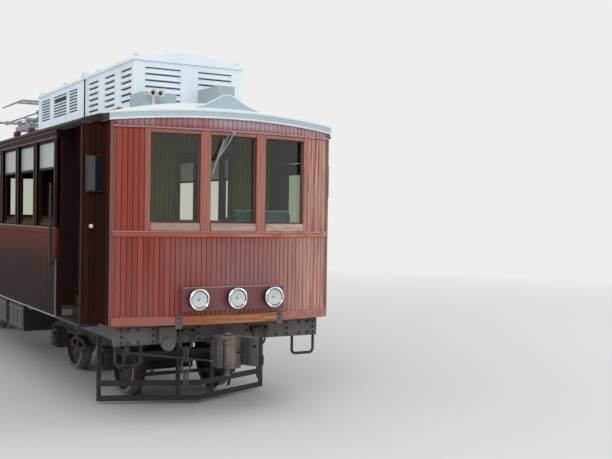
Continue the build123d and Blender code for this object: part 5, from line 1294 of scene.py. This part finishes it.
class RAILCAR_OT_running_gear(bpy.types.Operator):
    """Spring leaves, axle box lids, brake rods, sand pipes, tyres and wheel bolts"""

    bl_idname = "railcar.running_gear"
    bl_label = "Running gear"

    def execute(self, context):
        lid = [(0, 0.092), (0.008, 0.092), (0.012, 0.07), (0.02, 0.066), (0.022, 0.0)]
        for name, middle in (("bogie_front", -BOGIE_Y), ("bogie_rear", BOGIE_Y)):
            leaves, iron, pipes, points = Shape(), Shape(), Shape(), []
            for side in SIDES:
                # heads on this side of the bogie: x, y and z
                heads = []
                for k in range(5):
                    reach, camber = 0.33 - 0.022 * k, 0.08 - 0.0075 * k
                    for sign in (-1, 1):
                        path = [(u / 6, 0.48 + sign * (camber * (1 - u * u / 36) + 0.002)) for u in range(-6, 7)]
                        path = [(middle + reach * u, z) for u, z in path]
                        outline = path + [(y, z - sign * 0.0055) for y, z in reversed(path)]
                        leaves.prism(outline[::-sign], *sorted((side * 0.808, side * 0.814)))
                iron.box(side * 0.728, middle - 0.026, 0.386, side * 0.822, middle + 0.026, 0.574)
                for step in (-1, 1):
                    y = middle + step * HALF_BASE
                    iron.lathe(lid, (side * 0.845, y, AXLE_Z), (side, 0, 0), 28)
                    iron.box(side * 0.83, y - 0.118, 0.545, side * 0.842, y + 0.118, 0.556)
                    corners = ((-0.1, -0.09), (0.1, -0.09), (-0.1, 0.1), (0.1, 0.1))
                    heads += [(side * 0.834, y + u, AXLE_Z + v) for u, v in corners]
                    heads += [(side * 0.857, y + u, AXLE_Z + v) for u, v in arc(0.08, 0, 300, 6)]
                    sand = ((0.66, 0.47, 0.6), (0.6, 0.46, 0.45), (0.53, 0.44, 0.2), (0.53, 0.4, 0.1))
                    pipes.tube([(side * x, y + step * ahead, z) for x, ahead, z in sand], 0.015, 10)
                heads += [(side * 0.734, middle + u, 0.58) for u in (-0.62, -0.5, -0.38, 0.38, 0.5, 0.62)]
                heads += [(side * 0.734, middle + u, 0.555) for u in (-1.3, -1.15, 1.15, 1.3)]
                points += facing(heads, (side, 0, 0))
                hanger = ((0.4, 1.37, 0.3), (0.4, 1.37, 0.36), (0.545, 1.378, 0.41))
                for end in (-1, 1):
                    iron.tube([(side * x, middle + end * y, z) for x, y, z in hanger], 0.014, 8)
            for end in (-1, 1):
                y = middle + end * 1.37
                iron.tube([(-0.54, y, 0.3), (0.54, y, 0.3)], 0.02, 12)
            piece(f"{name}_spring_leaves", leaves, "rust", name)
            piece(f"{name}_ironwork", iron, "gear", name, bevel=0.002)
            piece(f"{name}_sand_pipes", pipes, "gear", name, smooth=60)
            bolts(f"{name}_bolts", points, 0.013, 0.014, "rust", name)
        tread = [(0.4985, 0.399), (0.4985, 0.4006), (0.52, 0.3995), (0.57, 0.397), (0.5875, 0.3957), (0.5875, 0.39)]
        rim = [(0.588, 0.352), (0.5895, 0.352), (0.5895, 0.394), (0.588, 0.394), (0.588, 0.352)]
        axles = [middle + step * HALF_BASE for middle in (-BOGIE_Y, BOGIE_Y) for step in (-1, 1)]
        for number, y in enumerate(axles, 1):
            body = f"wheelset_{number}"
            tyres, points = Shape(), []
            for side in SIDES:
                for profile in (tread, rim):
                    tyres.lathe(profile, (0, y, AXLE_Z), (side, 0, 0), 72)
                heads = [(side * 0.549, y + u, AXLE_Z + v) for u, v in arc(0.25, 0, 315, 8)]
                points += facing(heads, (side, 0, 0))
            piece(f"{body}_tyres", tyres, "tread", body, smooth=50)
            bolts(f"{body}_bolts", points, 0.018, 0.016, "rust", body)
        return {"FINISHED"}


class RAILCAR_OT_underfloor(bpy.types.Operator):
    """Lids, ribs, handles and straps of the equipment under the floor"""

    bl_idname = "railcar.underfloor"
    bl_label = "Equipment under the floor"

    def execute(self, context):
        lids, straps, handles = Shape(), Shape(), Shape()
        for side, low_y, high_y in ((-1, -1.55, -0.65), (-1, -0.55, 0.35), (1, -0.9, 0.3)):
            long = high_y - low_y
            face = side * 1.04
            lids.box(face, low_y + 0.03, 0.46, face + side * 0.008, high_y - 0.03, 0.75)
            for k in range(4):
                y = low_y + 0.1 + (long - 0.2) * k / 3
                lids.box(face, y - 0.012, 0.5, face + side * 0.016, y + 0.012, 0.7)
            for share in (0.2, 0.8):
                y = low_y + long * share
                grip = ((0.008, -0.05), (0.03, -0.04), (0.03, 0.04), (0.008, 0.05))
                handles.tube([(face + side * out, y + step, 0.725) for out, step in grip], 0.006, 8)
        strap = [(-0.025, 0.16), (-0.025, 0.164), (0.025, 0.164), (0.025, 0.16), (-0.025, 0.16)]
        for x in (-0.26, 0.26):
            for y in (0.72, 1.38):
                straps.lathe(strap, (x, y, 0.7597), (0, 1, 0), 40)
        piece("equipment_box_lids", lids, "headstock", bevel=0.003)
        piece("equipment_box_handles", handles, "steel", smooth=60)
        piece("reservoir_straps", straps, "rust")
        return {"FINISHED"}


class RAILCAR_OT_interior(bpy.types.Operator):
    """Bench slats, desk instruments and the frames of the partitions"""

    bl_idname = "railcar.interior"
    bl_label = "Interior"

    def execute(self, context):
        slats = []
        for y in BAY_YS:
            for low_x, high_x in ((-1.3, AISLE_LOW - 0.07), (AISLE_HIGH + 0.07, 1.3)):
                x = (low_x + high_x) / 2
                stretch = (high_x - low_x, 1, 1)
                for k in range(7):
                    u = -0.205 + 0.058 * k
                    slats.append(((x, y + u, FLOOR_Z + 0.407 - (u + 0.235) * 0.0465), (0, 0, 0), stretch))
                for k in range(7):
                    share = (k + 0.7) / 7.4
                    place = (x, y + 0.187 + 0.08 * share, FLOOR_Z + 0.38 + 0.52 * share)
                    slats.append((place, (math.pi / 2 - 0.152, 0, 0), stretch))
        repeat("bench_slats", "slats", slats, {"Width": 0.05, "Thickness": 0.014}, "bench")

        front = FRONT_Y + 0.02
        low_x, high_x, top = 0.125, 0.725, 2.09
        outline = [(front - 0.002, 1.9), (front + 0.19, 1.9), (front + 0.076, top), (front - 0.002, top)]
        piece("instrument_cases", Shape().prism(outline, low_x, high_x).turn(), "teal", bevel=0.004)
        edges = [
            (low_x, front - 0.008, top - 0.012, high_x, front + 0.078, top + 0.004),
            (low_x, front - 0.008, top - 0.108, high_x, front - 0.001, top - 0.098),
        ]
        boxed("desk_edges", "lip", 0.002, edges)
        dials, levers = Shape(), Shape()
        dial = [(0, 0), (0, 0.045), (0.012, 0.045), (0.016, 0.038), (0.014, 0.0)]
        for x in (0.3, 0.42, 0.54):
            dials.lathe(dial, (x, front + 0.115, 2.02), (0, 0.5, 0.5), 28)
        piece("desk_dials", dials.turn(), "cream", bevel=0.001)
        drum = [(0, 0), (0, 0.05), (0.012, 0.06), (0.03, 0.05), (0.034, 0.0)]
        levers.lathe(drum, (0.06, front + 0.11, 1.97), UP, 28)
        levers.tube([(0.06, front + 0.11, 2.0), (0.14, front + 0.17, 2.015), (0.17, front + 0.19, 2.06)], 0.011, 10)
        levers.tube([(0.8, front + 0.1, 1.9), (0.8, front + 0.1, 2.05), (0.74, front + 0.16, 2.06)], 0.012, 10)
        piece("desk_levers", levers.turn(), "brass", smooth=50)

        frames = Shape()
        for end in (-1, 1):
            y = end * SALOON_Y
            for x in (AISLE_LOW, AISLE_HIGH):
                frames.box(x - 0.03, y, FLOOR_Z, x + 0.03, y + end * 0.014, DOORWAY_HIGH + 0.03)
            head_z = (DOORWAY_HIGH - 0.01, DOORWAY_HIGH + 0.04)
            frames.box(AISLE_LOW - 0.03, y, head_z[0], AISLE_HIGH + 0.03, y + end * 0.016, head_z[1])
            # thin skirting and rail, clear of the open doors
            for low_z, high_z in ((FLOOR_Z, FLOOR_Z + 0.12), (1.92, 1.98)):
                for low_x, high_x in ((-1.08, AISLE_LOW), (AISLE_HIGH, 1.08)):
                    frames.box(low_x, y, low_z, high_x, y + end * 0.007, high_z)
        piece("partition_frames", frames, "lining_rail", bevel=0.003)
        return {"FINISHED"}


class RAILCAR_OT_pantograph(bpy.types.Operator):
    """Insulator sheds, springs, braces, bearings and contact strips"""

    bl_idname = "railcar.pantograph"
    bl_label = "Pantograph"

    def execute(self, context):
        profile = [(0.0, 0.0), (0.0, 0.056)]
        for k in range(4):
            z, less = 0.01 + 0.036 * k, 0.004 * k
            profile += [(z, 0.052), (z + 0.012, 0.085 - less), (z + 0.02, 0.082 - less), (z + 0.028, 0.054)]
        profile += [(0.155, 0.052), (0.155, 0.0)]
        sheds = Shape()
        for x in (-0.48, 0.48):
            for y in (PANTO_Y - 0.48, PANTO_Y + 0.48):
                sheds.lathe(profile, (x, y, roof_z(0.53) + 0.042), UP, 28)
        piece("insulator_sheds", sheds, "insulator", smooth=40)

        fittings = Shape()
        for side in SIDES:
            for end in (-1, 1):
                y = PANTO_Y + end * PANTO_FOOT
                fittings.box(side * 0.446, y - 0.05, 3.415, side * 0.514, y + 0.05, 3.432)
                fittings.box(side * 0.45, PANTO_Y + end * 0.46, 3.42, side * 0.51, PANTO_Y + end * 0.5, 3.43)
        spring_z, coils = 3.4, 26
        steps = 8 * coils
        for x in (-0.2, 0.2):
            path = [
                (x + u, PANTO_Y - 0.2 + 0.4 * k / steps, spring_z + v)
                for k, (u, v) in enumerate(arc(0.022, 0, 360 * coils, steps + 1))
            ]
            fittings.tube(path, 0.004, 5)
            for end in (-1, 1):
                rod = [(x, PANTO_Y + end * reach, spring_z) for reach in (0.19, 0.47)]
                fittings.tube(rod, 0.008, 8)
        piece("pantograph_base_fittings", fittings, "steel", smooth=50)

        elbow_z = PANTO_Z + PANTO_ARM * math.sin(PANTO_REST)
        head_z = 2 * elbow_z - PANTO_Z
        bearing = [(-0.03, 0.02), (-0.03, 0.034), (0.03, 0.034), (0.03, 0.02), (-0.03, 0.02)]
        for place, end in (("front", -1), ("rear", 1)):
            foot = PANTO_Y + end * PANTO_FOOT
            elbow = foot + end * PANTO_ARM * math.cos(PANTO_REST)
            lower, upper = Shape(), Shape()
            for side in SIDES:
                # each brace runs across its arm: its low end, its high end, the share cut off either end, radius
                for shape, low, high, cut, radius in (
                    (lower, (side * 0.38, foot, PANTO_Z), (side * -0.52, elbow, elbow_z), 0.04, 0.007),
                    (upper, (side * 0.44, elbow, elbow_z), (side * -0.18, foot, head_z), 0.06, 0.006),
                ):
                    whole = Vector(high) - Vector(low)
                    shape.tube([Vector(low) + whole * share for share in (cut, 1 - cut)], radius, 8)
                lower.lathe(bearing, (side * 0.387, foot, PANTO_Z), (1, 0, 0), 20)
            piece(f"pantograph_lower_braces_{place}", lower, "panto", f"panto_lower_{place}", smooth=50)
            piece(f"pantograph_upper_braces_{place}", upper, "panto", f"panto_upper_{place}", smooth=50)

        strips, heads = Shape(), []
        for end in (-1, 1):
            y = PANTO_Y + end * 0.17
            strips.box(-0.55, y - 0.021, head_z + 0.13, 0.55, y + 0.021, head_z + 0.138)
            heads += [(x, y, head_z + 0.136) for x in (-0.5, -0.25, 0.0, 0.25, 0.5)]
        piece("contact_strips", strips, "copper", "panto_head", bevel=0.004)
        bolts("contact_strip_screws", facing(heads, UP), 0.007, 0.003, "steel", "panto_head")
        return {"FINISHED"}


OPERATORS = (
    RAILCAR_OT_stage,
    RAILCAR_OT_finishes,
    RAILCAR_OT_boards,
    RAILCAR_OT_mouldings,
    RAILCAR_OT_sashes,
    RAILCAR_OT_doors,
    RAILCAR_OT_front_fittings,
    RAILCAR_OT_lamps,
    RAILCAR_OT_chains,
    RAILCAR_OT_roof_fittings,
    RAILCAR_OT_couplers,
    RAILCAR_OT_running_gear,
    RAILCAR_OT_underfloor,
    RAILCAR_OT_interior,
    RAILCAR_OT_pantograph,
)


class RAILCAR_PT_panel(bpy.types.Panel):
    """Lists the steps that build the railcar"""

    bl_idname = "RAILCAR_PT_panel"
    bl_label = "Railcar"
    bl_space_type = "VIEW_3D"
    bl_region_type = "UI"
    bl_category = "Railcar"

    def draw(self, context):
        for group in (context.scene.railcar_sizes, context.scene.railcar_colours):
            for key in group.__annotations__:
                self.layout.prop(group, key)
        for step in OPERATORS:
            self.layout.operator(step.bl_idname)


CLASSES = (RailcarSizes, RailcarColours, *OPERATORS, RAILCAR_PT_panel)


def register():
    for item in CLASSES:
        bpy.utils.register_class(item)
    bpy.types.Scene.railcar_sizes = PointerProperty(type=RailcarSizes)
    bpy.types.Scene.railcar_colours = PointerProperty(type=RailcarColours)


def unregister():
    del bpy.types.Scene.railcar_colours
    del bpy.types.Scene.railcar_sizes
    for item in reversed(CLASSES):
        bpy.utils.unregister_class(item)


def main():
    """Builds the whole car."""
    register()
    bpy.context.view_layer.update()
    for step in OPERATORS:
        group, name = step.bl_idname.split(".")
        getattr(getattr(bpy.ops, group), name)()


if __name__ == "__main__":
    main()
